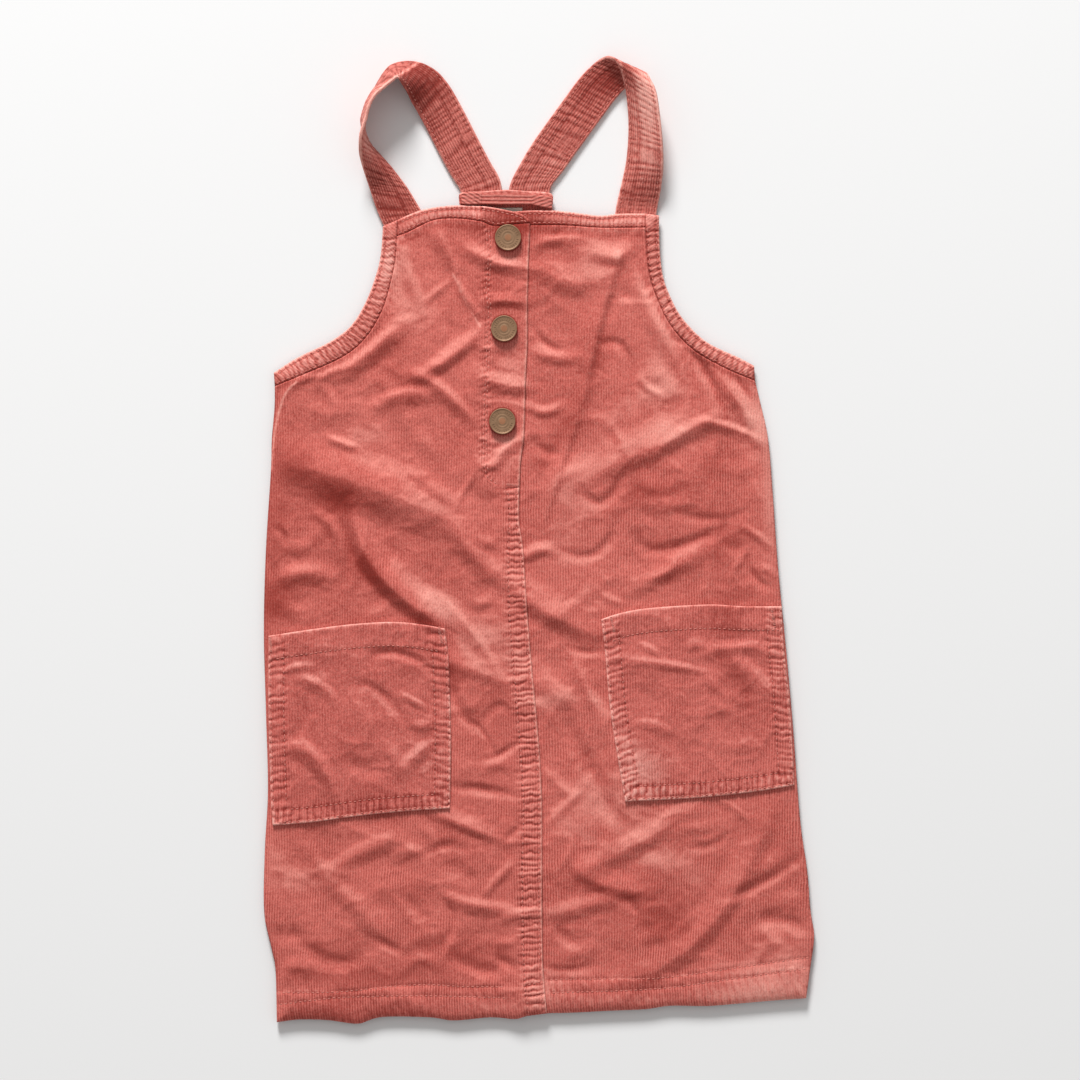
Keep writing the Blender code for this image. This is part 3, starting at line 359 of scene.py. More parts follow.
BACK_SWELLS = [
    # start, middle, end (mm), rise, half width: long soft lifts of the back off the table
    (-120, 60, -90, 10, -110, -60, 0.9, 13), (-40, -30, 10, -60, 40, -120, 1, 14),
    (90, 40, 110, -10, 95, -70, 0.8, 12), (-100, -140, -60, -190, -70, -250, 1, 15),
    (60, -160, 90, -200, 130, -220, 0.8, 12), (-30, 120, 0, 90, 10, 40, 0.8, 10),
    (-70, 150, -40, 130, -10, 140, 0.7, 9), (10, -220, 30, -250, 20, -280, 0.7, 9),
    (30, 130, 55, 110, 90, 90, 0.7, 8), (-150, 20, -140, -20, -150, -70, 0.6, 8),
    (120, -110, 130, -140, 125, -180, 0.7, 9), (-40, 190, -20, 182, 0, 190, 0.5, 6)]
BAND_PLAN = [(-51, 214.2), (-50, 221.6), (-36, 222.6), (-21.8, 223.6), (-8, 222.8), (7.4, 221.4),
    (9, 214.2)]
BAND_BASE, BAND_TOP = 3.1, 4.3
# x, low y, high y, low z, high z
LOOP_ROWS = [
    (-49.5, 214.8, 221.2, 4.6, 5.8), (-46.5, 214.2, 222.2, 4.6, 7), (-40, 214.2, 221.8, 4.6, 7.2),
    (-37, 214.3, 221.2, 4.6, 6.6), (-35, 214.3, 220.9, 4.7, 5.9), (-22, 214, 221, 5.2, 6.4),
    (-7, 214.1, 220.6, 4.7, 5.9), (-3.6, 213.8, 220.6, 4.6, 6.6), (1.5, 212.8, 219.9, 4.6, 7.2),
    (6.2, 211.8, 219.2, 4.6, 6.8), (8.2, 212, 218, 4.6, 5.8)]
LABEL_CENTRE, LABEL_SIZE = (-19.0, 207.2, 2.35), (17.0, 10.0)

# ---------------------------------------------------------------- cloth and sewing
WALE_ZONES = [
    # place in the photograph, reach (px), how much plainer or fainter the ribs are there
    (430, 300, 95, -0.45), (590, 330, 100, -0.4), (350, 490, 110, -0.25), (355, 720, 85, -0.5),
    (650, 520, 100, 0.55), (700, 700, 80, 0.05), (690, 880, 130, 0.75), (380, 900, 130, 0.5)]
FADE_AND_PAINTED_LIGHT_ZONES = [
    # place in the photograph, reach across and down (px), paler (+) and deeper (-): painted light
    # and shade of the folds, with some washed fading among the paler ones
    (300, 455, 30, 26, -0.62), (338, 505, 30, 24, -0.5), (272, 520, 20, 55, -0.45),
    (372, 562, 30, 26, -0.52), (268, 602, 24, 24, -0.55), (322, 560, 40, 40, -0.22),
    (422, 657, 30, 20, -0.3), (398, 375, 26, 28, -0.28), (505, 293, 24, 18, -0.4),
    (520, 226, 45, 10, -0.45), (552, 465, 20, 24, -0.22), (590, 350, 26, 34, -0.16),
    (650, 490, 38, 14, -0.32), (655, 552, 26, 18, -0.34), (725, 540, 22, 26, -0.36),
    (730, 625, 20, 40, -0.32), (298, 795, 30, 20, -0.32), (380, 792, 28, 26, -0.28),
    (300, 725, 26, 18, -0.16), (308, 945, 34, 20, -0.28), (380, 982, 42, 16, -0.36),
    (460, 950, 36, 26, -0.28), (600, 868, 40, 22, -0.26), (666, 925, 30, 22, -0.5),
    (390, 885, 40, 16, -0.15), (640, 905, 30, 20, -0.24), (393, 262, 16, 24, 0.52),
    (415, 310, 22, 28, 0.36), (595, 262, 20, 26, 0.46), (660, 350, 16, 40, 0.4),
    (678, 432, 26, 14, 0.36), (758, 425, 18, 24, 0.58), (578, 500, 24, 26, 0.26),
    (448, 608, 16, 14, 0.36), (485, 635, 22, 16, 0.46), (516, 662, 20, 14, 0.34),
    (552, 700, 34, 10, 0.38), (650, 772, 26, 26, 0.28), (586, 800, 32, 22, 0.34),
    (640, 860, 48, 16, 0.32), (780, 990, 56, 26, 0.66), (420, 760, 26, 18, 0.24),
    (340, 660, 50, 18, 0.18), (368, 432, 22, 14, 0.18), (410, 510, 30, 16, 0.18),
    (555, 915, 44, 8, 0.28), (290, 880, 34, 14, 0.18), (512, 350, 16, 40, 0.2),
    (590, 540, 26, 30, 0.14), (515, 214, 34, 8, -0.4), (396, 222, 16, 14, -0.5),
    (490, 286, 16, 16, -0.22), (541, 262, 14, 22, -0.2), (285, 606, 22, 20, -0.22),
    (340, 752, 34, 22, -0.2), (365, 812, 44, 12, -0.22), (365, 1006, 60, 12, -0.16),
    (492, 968, 26, 24, -0.24), (690, 930, 30, 16, -0.22), (618, 884, 28, 14, -0.22),
    (640, 505, 44, 24, -0.14), (715, 465, 26, 18, -0.3), (720, 600, 24, 26, -0.2),
    (745, 692, 22, 22, -0.22), (440, 478, 22, 16, -0.2), (665, 390, 22, 16, 0.34),
    (676, 440, 22, 12, 0.24), (740, 415, 20, 20, 0.24), (772, 490, 12, 70, 0.4),
    (640, 300, 18, 26, 0.26), (393, 278, 16, 22, 0.22), (632, 800, 34, 26, 0.22),
    (646, 858, 36, 12, 0.18), (690, 880, 26, 12, 0.24), (365, 436, 26, 12, 0.2),
    (320, 560, 20, 16, 0.16), (542, 988, 18, 20, 0.3), (784, 958, 36, 20, 0.3),
    (590, 596, 22, 12, 0.2), (560, 486, 20, 20, 0.18), (512, 262, 14, 14, 0.22),
    (518, 222, 28, 14, -0.5), (504, 450, 18, 30, 0.3), (512, 380, 16, 24, 0.16),
    (480, 1008, 50, 7, 0.3), (560, 1006, 50, 7, 0.35), (650, 1002, 60, 7, 0.4),
    (745, 997, 50, 9, 0.5), (780, 975, 24, 14, -0.2), (617, 256, 4, 6, 0.7),
    (500, 642, 26, 16, 0.14), (560, 545, 18, 30, 0.18), (548, 700, 26, 12, 0.2),
    (640, 832, 46, 14, 0.18), (630, 760, 18, 22, 0.18), (505, 585, 20, 22, 0.14),
    (432, 600, 14, 16, 0.16), (436, 505, 22, 12, 0.18), (760, 690, 12, 18, 0.3),
    (292, 970, 26, 14, -0.2), (350, 968, 30, 14, -0.22), (375, 660, 22, 14, -0.2),
    (320, 880, 30, 12, 0.2), (275, 850, 20, 30, 0.16), (262, 660, 10, 40, -0.3),
    (755, 585, 14, 20, -0.24), (575, 430, 16, 24, -0.22)]
FOLD_TONES = [
    # painted light, with some rubbing, along a long fold's crest (+), painted shade along its
    # shaded side (-): line in the photograph, half width, tone
    ([(380, 552), (412, 578), (442, 610), (466, 648), (490, 680)], 6.5, 0.26),
    ([(366, 566), (400, 596), (432, 634), (456, 680)], 7, -0.26),
    ([(604, 345), (586, 390), (562, 430), (540, 466)], 6, -0.24),
    ([(655, 388), (622, 412), (588, 450), (562, 488)], 8, 0.2),
    ([(560, 820), (590, 838), (622, 855)], 6, 0.22),
    ([(604, 838), (632, 868), (676, 894)], 6.5, -0.24),
    ([(345, 462), (368, 474), (392, 484)], 6, -0.26),
    ([(662, 425), (628, 448), (590, 476)], 6, 0.22),
    ([(596, 700), (620, 730), (640, 768)], 6, 0.2),
    ([(722, 660), (740, 684), (752, 708)], 6, -0.2)]
WALE = 1.71                 # distance between the cord's ribs
STITCH, STITCH_LENGTH = 3.1, 2.2    # from one stitch to the next, and the length of one
TACK_STEP = 0.85
THREAD = 0.24               # half thickness of the sewing thread
GROOVE = 0.38               # how far a row of stitches pulls the cloth in
PAINTED_LEAN_LIGHT, PAINTED_LEAN_LIGHT_MOST = 1.5, 0.45   # painted light and shade: how much paler a face is made as it leans towards the lamp by the neck, deeper as it leans away, and the most
SEAM_SLIT = 0.02            # gap between pieces sewn together
SEAM_LEFT, SEAM_ROUND = 1.0, 1.0    # thickness left at a seam's bottom, reach of its rounding
EDGE_LEFT, EDGE_ROUND = 0.35, 0.65  # the same for folded edges, left as a share
FINE_STEP, COARSE_STEP = 1.2, 5.0
EDGE_RINGS = (0.4, 1.0)     # rows of points inside an edge
SEW_STEP, SEW_ROWS = 0.85, (-0.95, -0.35, 0.35, 0.95)   # points along and beside stitches
MERGED, RIM_CLEAR, LATTICE_CLEAR = 0.4, 0.25, 0.62      # the last as a share of the pitch
STITCH_LIFT, STITCH_DIP = 0.45, 0.34


# ---------------------------------------------------------------- plan geometry

def smooth_run(knots, step=None, steps=None):
    """A smooth curve through the knots, with points a step apart or so many to a knot."""
    knots = [np.array(knot, float) for knot in knots]
    ends = [2 * knots[0] - knots[1]] + knots + [2 * knots[-1] - knots[-2]]
    points = [knots[0]]
    for before, start, stop, after in zip(ends, ends[1:], ends[2:], ends[3:]):
        count = steps or max(1, round(np.linalg.norm(stop[:2] - start[:2]) / step))
        for t in (index / count for index in range(1, count + 1)):
            points.append(0.5 * (2 * start + (stop - before) * t
                                 + (2 * before - 5 * start + 4 * stop - after) * t ** 2
                                 + (3 * start - before - 3 * stop + after) * t ** 3))
    return np.array(points)


def bend(row, count):
    """Plan points along one fold, from its start through its middle to its end."""
    start, middle, end = (np.array(row[i:i + 2], float) for i in (0, 2, 4))
    control = 2 * middle - (start + end) / 2
    t = np.linspace(0, 1, count)[:, None]
    return (1 - t) ** 2 * start + 2 * t * (1 - t) * control + t ** 2 * end


def unit(vectors):
    """Each row at length one."""
    return vectors / np.maximum(np.linalg.norm(vectors, axis=1), 1e-9)[:, None]


def left_of(vectors):
    """Plan vectors turned a quarter to the left."""
    return np.stack([-vectors[:, 1], vectors[:, 0]], axis=1)


def lengths_along(path):
    """How far along a path each of its points is."""
    return np.concatenate([[0], np.cumsum(np.linalg.norm(np.diff(path, axis=0), axis=1))])


def read_at(places, lengths, values):
    """Rows of values at some distances along a path."""
    return np.stack([np.interp(places, lengths, column) for column in values.T], axis=1)


def nearest_on_path(points, path):
    """Distance of each point to a path, and the millimetres along it."""
    best = np.full(len(points), np.inf)
    along = np.zeros(len(points))
    lengths = np.maximum(np.linalg.norm(np.diff(path, axis=0), axis=1), 1e-9)
    starts = np.concatenate([[0], np.cumsum(lengths)])
    for index, length in enumerate(lengths):
        direction = (path[index + 1] - path[index]) / length
        offset = points - path[index]
        reach = np.clip(offset @ direction, 0, length)
        distance = np.hypot(offset[:, 0] - reach * direction[0],
                            offset[:, 1] - reach * direction[1])
        closer = distance < best
        best = np.where(closer, distance, best)
        along = np.where(closer, starts[index] + reach, along)
    return best, along


def near_path(points, path, reach):
    """Indices of the points in a path's grown box, their distance and place along it."""
    low, high = path.min(axis=0) - reach, path.max(axis=0) + reach
    near = np.nonzero(((points > low) & (points < high)).all(axis=1))[0]
    if len(near) == 0:
        return near, np.zeros(0), np.zeros(0)
    return (near, *nearest_on_path(points[near], path))


def inside(points, outline):
    """True for each point within a closed outline."""
    result = np.zeros(len(points), bool)
    for (x0, y0), (x1, y1) in zip(outline, np.roll(outline, -1, axis=0)):
        if y0 == y1:
            continue
        crosses = (points[:, 1] < y0) != (points[:, 1] < y1)
        at = x0 + (points[:, 1] - y0) * (x1 - x0) / (y1 - y0)
        result ^= crosses & (points[:, 0] < at)
    return result


def smoothstep(value):
    value = np.clip(value, 0, 1)
    return value * value * (3 - 2 * value)


def bell(distance, width):
    return np.exp(-(distance / width) ** 2)


def rungs(phase, rise, drop):
    """Round ridges with narrow hollows between them, one for each whole phase."""
    return rise * np.abs(np.sin(math.pi * phase)) ** 0.55 - drop


def closed(outline):
    return np.vstack([outline, outline[:1]])


def trimmed(path, start, end, step=1.5):
    """Points a step apart along a path, without so many millimetres at its two ends."""
    lengths = lengths_along(path)
    count = max(2, round((lengths[-1] - start - end) / step))
    return read_at(np.linspace(start, lengths[-1] - end, count), lengths, path)


def resample(path, step):
    lengths = lengths_along(path)
    count = max(2, round(lengths[-1] / step) + 1)
    return read_at(np.linspace(0, lengths[-1], count), lengths, path)


def beside(path, distance):
    """A path moved to its left by a distance."""
    return path + left_of(unit(np.gradient(path, axis=0))) * distance


def area_and_turn(outline):
    """Area of a closed outline, and 1 or -1 for its way round."""
    after = np.roll(outline, -1, axis=0)
    double = (outline[:, 0] * after[:, 1] - after[:, 0] * outline[:, 1]).sum()
    return abs(double) / 2, np.sign(double)


def pulled_in(outline, distance):
    """A closed outline moved inwards by a distance."""
    first = left_of(unit(outline - np.roll(outline, 1, axis=0)))
    second = left_of(unit(np.roll(outline, -1, axis=0) - outline))
    mean = unit(first + second)
    reach = np.maximum(0.5, (mean * first).sum(axis=1))
    return outline + area_and_turn(outline)[1] * mean * (distance / reach)[:, None]


def ripple(values, seed):
    """Smooth random values from -1 to 1 along a line."""
    knots = np.random.default_rng(seed).uniform(-1, 1, 1024)
    index = np.floor(values).astype(int)
    part = smoothstep(values - index)
    return knots[index % 1024] * (1 - part) + knots[(index + 1) % 1024] * part


def mottle(points, size, seed):
    """Smooth random values from -1 to 1 over the plan, in patches of about a size."""
    grid = np.random.default_rng(seed).uniform(-1, 1, (256, 256))
    scaled = points / size
    index = np.floor(scaled).astype(int)
    part = smoothstep(scaled - index)
    i, j = index[:, 0] % 256, index[:, 1] % 256
    low, high = (grid[i, k] * (1 - part[:, 0]) + grid[(i + 1) % 256, k] * part[:, 0]
                 for k in (j, (j + 1) % 256))
    return low * (1 - part[:, 1]) + high * part[:, 1]


# ---------------------------------------------------------------- seam plan

def pixel_path(*pixels):
    """Plan points of a line read from the photograph."""
    return [((x - PIXEL_CENTRE[0]) * PIXEL, (PIXEL_CENTRE[1] - y) * PIXEL) for x, y in pixels]


def seam_plan(step):
    """The named seam runs, each way, and the outlines of the front's pieces."""
    runs = {name: smooth_run(knots, step) for name, knots in SEAMS.items()}
    runs.update({"-" + name: path[::-1] for name, path in list(runs.items())})
    around = {name: [runs[key] for key in keys.split()] for name, keys in OUTLINE_RUNS.items()}
    around.update({name: [smooth_run(side, step) for side in sides]
                   for name, sides in POCKETS.items()})
    return runs, {name: np.vstack([path[:-1] for path in paths])
                  for name, paths in around.items()}


RUNS, COARSE = seam_plan(COARSE_STEP)
OUTLINES = seam_plan(FINE_STEP)[1]
RUNS["side_fold"] = smooth_run(pixel_path((296, 383), (286, 394), (280, 410), (275.5, 430),
                                          (273, 452), (271.5, 470)), 2.0)
RUNS["bib_crest"] = smooth_run(pixel_path((453, 274), (458, 285), (463, 297), (471, 311),
                                          (480, 326)), 2.0)
RUNS["racer_l"], RUNS["racer_r"] = smooth_run(RACER_LEFT, 2.0), smooth_run(RACER_RIGHT, 2.0)
FRONT_EDGE = closed(COARSE["front"])
LAP_LINE = np.concatenate([RUNS["placket"], RUNS["strip"][1:]])


def run(names):
    """One path of seam runs that follow each other. A path is given back as it is."""
    if not isinstance(names, str):
        return names
    parts = [RUNS[name] for name in names.split()]
    return np.vstack([part[:-1] for part in parts[:-1]] + [parts[-1]])


def each_run(names):
    return [RUNS[name] for name in names.split()] if isinstance(names, str) else names


def line(names, side=0.0, start=0.0, end=0.0):
    """A sewing line beside some seam runs."""
    return trimmed(beside(resample(run(names), 2.0), side), start, end)


def pocket_line(name, side, depth, start=0.0, end=0.0):
    return trimmed(beside(smooth_run(POCKETS[name][side], 2.0), -depth), start, end)


def fold_relief(points):
    """Rise of the folds: soft or keen tents along bent lines, with a width on either side."""
    rise = np.zeros(len(points))
    for row in FOLDS:
        path = bend(np.ravel(pixel_path(row[:2], row[2:4], row[4:6])), 12)
        height, left, right, keen = row[6:]
        near, gap, along = near_path(points, path, max(left, right))
        if len(near) == 0:
            continue
        lengths = lengths_along(path)
        ahead = read_at(along, lengths, np.gradient(path, axis=0))
        offset = points[near] - read_at(along, lengths, path)
        on_left = ahead[:, 0] * offset[:, 1] - ahead[:, 1] * offset[:, 0] > 0
        taper = np.sin(math.pi * (0.05 + 0.9 * along / lengths[-1])) ** 0.7
        fall = np.clip(1 - gap / np.where(on_left, left, right), 0, 1)
        rise[near] += height * taper * ((1 - keen) * smoothstep(fall) + keen * fall ** 1.5)
    return rise


def crumple(points, size, seed):
    """Uneven soft relief whose ridges are narrower than its hollows."""
    bent = points + 0.45 * size * np.column_stack([mottle(points, size, seed + 50),
                                                   mottle(points, size, seed + 60)])
    return 0.9 - 2 * np.abs(mottle(bent, size, seed)) ** 0.8


def front_height(points):
    """Height of the front's underside over the resting surface."""
    distance, _ = nearest_on_path(points, FRONT_EDGE)
    roll = np.clip(distance / ROLL_WIDTH, 0, 1)
    roll = np.sqrt(1 - (1 - roll) ** 2)
    bib = smoothstep((points[:, 1] - BIB_START + BIB_FADE / 2) / BIB_FADE)
    rim = SIDE_HEIGHT + (BIB_HEIGHT - SIDE_HEIGHT) * bib
    across, up = ((points[:, k] - NECK_CENTRE[k]) / NECK_REACH[k] for k in (0, 1))
    neck = np.exp(-across ** 2 - up ** 2)
    rim = rim + (NECK_HEIGHT - BIB_HEIGHT) * neck
    inner = smoothstep(distance / ROLL_WIDTH)
    folds = fold_relief(points) * (0.3 + 0.7 * inner)
    swell = sum(rise * crumple(points, size, seed) for size, rise, seed in CRUMPLES)
    height = rim + (PUFF_HEIGHT - rim) * roll + folds + swell * inner
    for centre in SNAPS.values():
        reach = np.linalg.norm(points - np.array(centre), axis=1)
        height += (SNAP_SEAT_HEIGHT - height) * (
            1 - smoothstep((reach - SNAP_SEAT_RADIUS) / SNAP_SEAT_FADE))
    return np.maximum(height, rim)


def lapped_height(points):
    """Height of the left half, which climbs over the right half at placket and lap."""
    distance, _ = nearest_on_path(points, LAP_LINE)
    beyond = points[:, 0] > np.interp(points[:, 1], LAP_LINE[::-1, 1], LAP_LINE[::-1, 0])
    climb = np.where(beyond, 1, 1 - smoothstep(distance / LAP_CLIMB))
    return front_height(points) + LAP_RISE * climb


def back_outline(step):
    """The back panel's outline: hem, sides and racer shape, counter-clockwise."""
    sides = []
    for name, inset, low, high in (("side_l", BACK_INSET, BACK_HEM_LEFT, 98),
                                   ("side_r", -BACK_INSET, BACK_HEM_RIGHT, 100)):
        side = smooth_run([(x + inset, y) for x, y in SEAMS[name]], step)
        sides.append(side[(side[:, 1] > low) & (side[:, 1] < high)])
    left, right = sides
    hem = smooth_run([(left[0][0], BACK_HEM_LEFT), *BACK_HEM_MIDDLE,
                      (right[0][0], BACK_HEM_RIGHT)], step)
    return np.vstack([hem, right, smooth_run(RACER_RIGHT, step)[::-1],
                      smooth_run(RACER_LEFT, step)[::-1], left[::-1]])


def back_lift(points):
    """How far the back panel rises off the table."""
    lift = np.zeros(len(points))
    for *places, rise, width in BACK_SWELLS:
        path = bend(places, 8)
        near, gap, along = near_path(points, path, 3 * width)
        taper = np.sin(math.pi * (0.05 + 0.9 * along / lengths_along(path)[-1])) ** 0.8
        lift[near] += rise * taper * bell(gap, width)
    edge, _ = nearest_on_path(points, closed(back_outline(8.0)))
    return np.minimum(lift, BACK_MOST) * smoothstep(edge / BACK_FADE)


# ---------------------------------------------------------------- materials

class Shading:
    """Short ways to make and join a material's nodes."""

    def __init__(self, name):
        self.material = bpy.data.materials.new(name)
        self.material.use_nodes = True
        self.tree = self.material.node_tree
        self.shader = self.tree.nodes["Principled BSDF"]

    def put(self, socket, value):
        if isinstance(value, bpy.types.NodeSocket):
            self.tree.links.new(value, socket)
        elif hasattr(value, "__len__") and len(value) == 3 and socket.type == "RGBA":
            socket.default_value = (*value, 1)
        else:
            socket.default_value = value

    def fill(self, node, **inputs):
        """Set a node's inputs by name, each to a value or from another node."""
        for name, value in inputs.items():
            self.put(node.inputs[name.replace("_", " ")], value)
        return node

    def make(self, kind, *values, output=0, operation=None, **inputs):
        """A new node's output, from values in the order of its inputs or by name."""
        made = self.tree.nodes.new("ShaderNode" + kind)
        if operation:
            made.operation = operation
        for socket, value in zip(made.inputs, values):
            self.put(socket, value)
        return self.fill(made, **inputs).outputs[output]

    def math(self, operation, *values, clamp=False):
        result = self.make("Math", *values, operation=operation)
        result.node.use_clamp = clamp
        return result

    def times(self, first, second):
        return self.math("MULTIPLY", first, second)

    def plus(self, first, second):
        return self.math("ADD", first, second)

    def span(self, value, low, high, new_low=0.0, new_high=1.0):
        """A value's place between two others, held between two results."""
        return self.make("MapRange", value, low, high, new_low, new_high)

    def mix(self, factor, first, second):
        made = self.tree.nodes.new("ShaderNodeMix")
        made.data_type = "RGBA"
        for index, value in ((0, factor), (6, first), (7, second)):
            self.put(made.inputs[index], value)
        return made.outputs[2]

    def noise(self, vector, scale, detail=2.0, roughness=0.5):
        return self.make("TexNoise", Vector=vector, Scale=scale, Detail=detail,
                         Roughness=roughness)

    def attribute(self, name, output):
        made = self.tree.nodes.new("ShaderNodeAttribute")
        made.attribute_name = name
        return made.outputs[output]

    def scaled(self, vector, scale):
        return self.make("VectorMath", vector, scale, operation="MULTIPLY")

    def bump(self, strength, distance, height):
        self.fill(self.shader, Normal=self.make("Bump", Strength=strength, Distance=distance,
                                                Height=height))


def cord_material(name, deep, main, light, pitch=WALE, contrast=0.8):
    """Washed needlecord: ribs of pile, dark grooves, and a tone that makes rubbed crests and
    painted light paler and painted shade deeper.
    """
    s = Shading(name)
    grain = s.attribute("grain", "Vector")
    tone, wales = s.attribute("tone", "Fac"), s.attribute("wales", "Fac")
    split = s.make("SeparateXYZ", grain)
    across = s.math("MULTIPLY_ADD", s.noise(grain, 0.09, 2), 1.6, split)
    wave = s.math("SINE", s.times(across, math.tau / pitch))
    rib = s.math("POWER", s.span(wave, -1, 1), 1.15)
    pile = s.noise(s.scaled(grain, (1.5, 0.75, 1)), 0.72, 3, 0.6)
    fleck = s.noise(s.scaled(grain, (0.9, 0.7, 1)), 0.45, 3, 0.6)
    patch = s.noise(grain, 0.05, 3, 0.6)
    blotch = s.noise(grain, 0.022, 3, 0.55)
    strength = s.times(s.span(patch, 0.36, 0.62, contrast * 0.4, contrast), wales)
    # from the deep colour to the main one: ribs, pile, tone with its painted light and shade,
    # flecks and blotches
    shown = s.math("MULTIPLY_ADD", s.math("SUBTRACT", rib, 0.45), strength, 0.5)
    shown = s.plus(shown, s.times(s.span(pile, 0.2, 0.8, -0.36, 0.36),
                                  s.math("MULTIPLY_ADD", wales, -0.5, 1.5)))
    shown = s.math("MULTIPLY_ADD", tone, 0.5, shown)
    shown = s.plus(shown, s.span(fleck, 0.25, 0.75, -0.18, 0.18))
    shown = s.math("ADD", shown, s.span(blotch, 0.3, 0.7, -0.16, 0.16), clamp=True)
    colour = s.mix(shown, deep, main)
    # then lint, and high tone from rubbed crests, fading and painted light, towards the light
    # colour, and low tone, which is painted shade, towards the dark shade colour
    lint = s.noise(s.scaled(grain, (1.4, 0.9, 1)), 1.05, 2, 0.6)
    colour = s.mix(s.span(lint, 0.50, 0.76, 0.0, 0.26), colour, light)
    worn_and_painted_light = s.times(s.span(tone, 0.12, 1.0), s.span(pile, 0.3, 0.7, 0.35, 1.0))
    colour = s.mix(s.times(worn_and_painted_light, 0.9), colour, light)
    # painted shade: low tone darkens the colour towards the shade colour
    hollow = s.times(s.span(tone, -0.12, -1.0), s.span(fleck, 0.3, 0.7, 0.75, 1.0))
    shade = (0.66 * deep[0], 0.36 * deep[1], 0.30 * deep[2])
    s.fill(s.shader, Base_Color=s.mix(s.times(hollow, 0.8), colour, shade), Roughness=0.92,
           Specular_IOR_Level=0.15, Sheen_Weight=0.10, Sheen_Roughness=0.5,
           Sheen_Tint=(1.0, 0.70, 0.64))
    ribs = s.times(rib, s.times(strength, 0.8))
    s.bump(0.7, 0.0005, s.plus(s.plus(ribs, s.times(pile, 0.8)), s.times(fleck, 0.8)))
    return s.material


def thread_material():
    s = Shading("thread")
    speck = s.noise(s.make("TexCoord", output="Object"), 2600.0, 2)
    s.fill(s.shader, Base_Color=s.mix(speck, (0.52, 0.14, 0.11), (0.80, 0.31, 0.25)),
           Roughness=0.8, Sheen_Weight=0.2)
    return s.material


def label_material():
    s = Shading("label")
    weave = s.make("TexWave", Vector=s.make("TexCoord", output="Object"), Scale=900.0,
                   output="Fac")
    s.fill(s.shader, Base_Color=s.mix(weave, (0.62, 0.55, 0.46), (0.86, 0.80, 0.70)),
           Roughness=0.85)
    s.bump(0.4, 0.0002, weave)
    return s.material


def brass_material(name, dull, bright):
    """Aged brass: even satin with darker pits and faint rubbed patches."""
    s = Shading(name)
    place = s.make("TexCoord", output="Object")
    cloud, grit = s.noise(place, 320.0, 3), s.noise(place, 2400.0, 2)
    tone = s.plus(s.span(cloud, 0.3, 0.7, 0.0, 0.7), s.span(grit, 0.3, 0.7, 0.0, 0.3))
    s.fill(s.shader, Base_Color=s.mix(tone, dull, bright),
           Roughness=s.span(cloud, 0.3, 0.7, 0.62, 0.48), Metallic=0.35)
    s.bump(0.3, 0.0001, grit)
    return s.material


def floor_material():
    s = Shading("pale_table")
    s.fill(s.shader, Base_Color=(0.86, 0.86, 0.86), Roughness=0.9, Specular_IOR_Level=0.1)
    return s.material


MATERIALS = {
    "cord": cord_material("washed_cord", (0.375, 0.056, 0.043), (0.72, 0.184, 0.150),
                          (0.93, 0.46, 0.38), contrast=0.66),
    "cord_band": cord_material("band_cord", (0.33, 0.050, 0.038), (0.69, 0.187, 0.152),
                               (0.94, 0.52, 0.44), contrast=0.55),
    "cord_pocket": cord_material("pocket_cord", (0.365, 0.055, 0.043), (0.71, 0.178, 0.146),
                                 (0.94, 0.52, 0.44), contrast=0.60),
    "strap": cord_material("strap_cord", (0.29, 0.045, 0.034), (0.68, 0.195, 0.158),
                           (0.95, 0.52, 0.44), contrast=0.78),
    "loop": cord_material("loop_cord", (0.36, 0.070, 0.056), (0.72, 0.22, 0.18),
                          (0.90, 0.46, 0.38), pitch=2.15, contrast=0.5),
    "thread": thread_material(),
    "label": label_material(),
    "brass": brass_material("aged_brass", (0.23, 0.125, 0.065), (0.36, 0.205, 0.115)),
    "copper": brass_material("rubbed_middle", (0.32, 0.135, 0.065), (0.43, 0.19, 0.095)),
    "floor": floor_material()}


# ---------------------------------------------------------------- meshes

def mesh_object(name, verts, faces, material, smooth=True, grain=None, tone=None, wales=None):
    """A mesh object from arrays in millimetres, with what a cord's material reads."""
    mesh = bpy.data.meshes.new(name)
    mesh.from_pydata((np.asarray(verts, float) * MM).tolist(), [],
                     [tuple(int(i) for i in face) for face in faces])
    if grain is not None:
        for key, kind, field, values in (("grain", "FLOAT_VECTOR", "vector", grain),
                                         ("tone", "FLOAT", "value", np.clip(tone, -1, 1)),
                                         ("wales", "FLOAT", "value", wales)):
            layer = mesh.attributes.new(key, kind, "POINT")
            layer.data.foreach_set(field, np.asarray(values, np.float32).ravel())
    if smooth:
        mesh.shade_smooth()
    mesh.update()
    thing = bpy.data.objects.new(name, mesh)
    mesh.materials.append(MATERIALS[material])
    bpy.context.scene.collection.objects.link(thing)
    return thing


def tube_faces(rings, around):
    """Faces of a closed tube of rings, with a cap at either end."""
    faces = []
    for i in range(rings - 1):
        for j in range(around):
            a, b = i * around + j, i * around + (j + 1) % around
            faces.append((b, a, a + around, b + around))
    last = (rings - 1) * around
    return faces + [tuple(range(around)), tuple(last + j for j in range(around - 1, -1, -1))]


def slab_faces(long, wide):
    """Faces of a closed slab: a grid of points over its face, and as many over its back."""
    count = long * wide
    faces = []
    for i in range(long - 1):
        for j in range(wide - 1):
            a = i * wide + j
            quad = (a, a + 1, a + 1 + wide, a + wide)
            faces += [quad, tuple(k + count for k in quad[::-1])]
    rim = [*range(wide - 1), *range(wide - 1, count - 1, wide),
           *range(count - 1, count - wide, -1), *range(count - wide, 0, -wide)]
    return faces + [(b, a, a + count, b + count) for a, b in zip(rim, rim[1:] + rim[:1])]


def clear_of(points, others, clearance):
    """True for each point that has none of the others within a clearance."""
    tree = KDTree(len(others))
    for index, (x, y) in enumerate(others):
        tree.insert((x, y, 0), index)
    tree.balance()
    return np.array([tree.find((x, y, 0))[2] > clearance for x, y in points], bool)


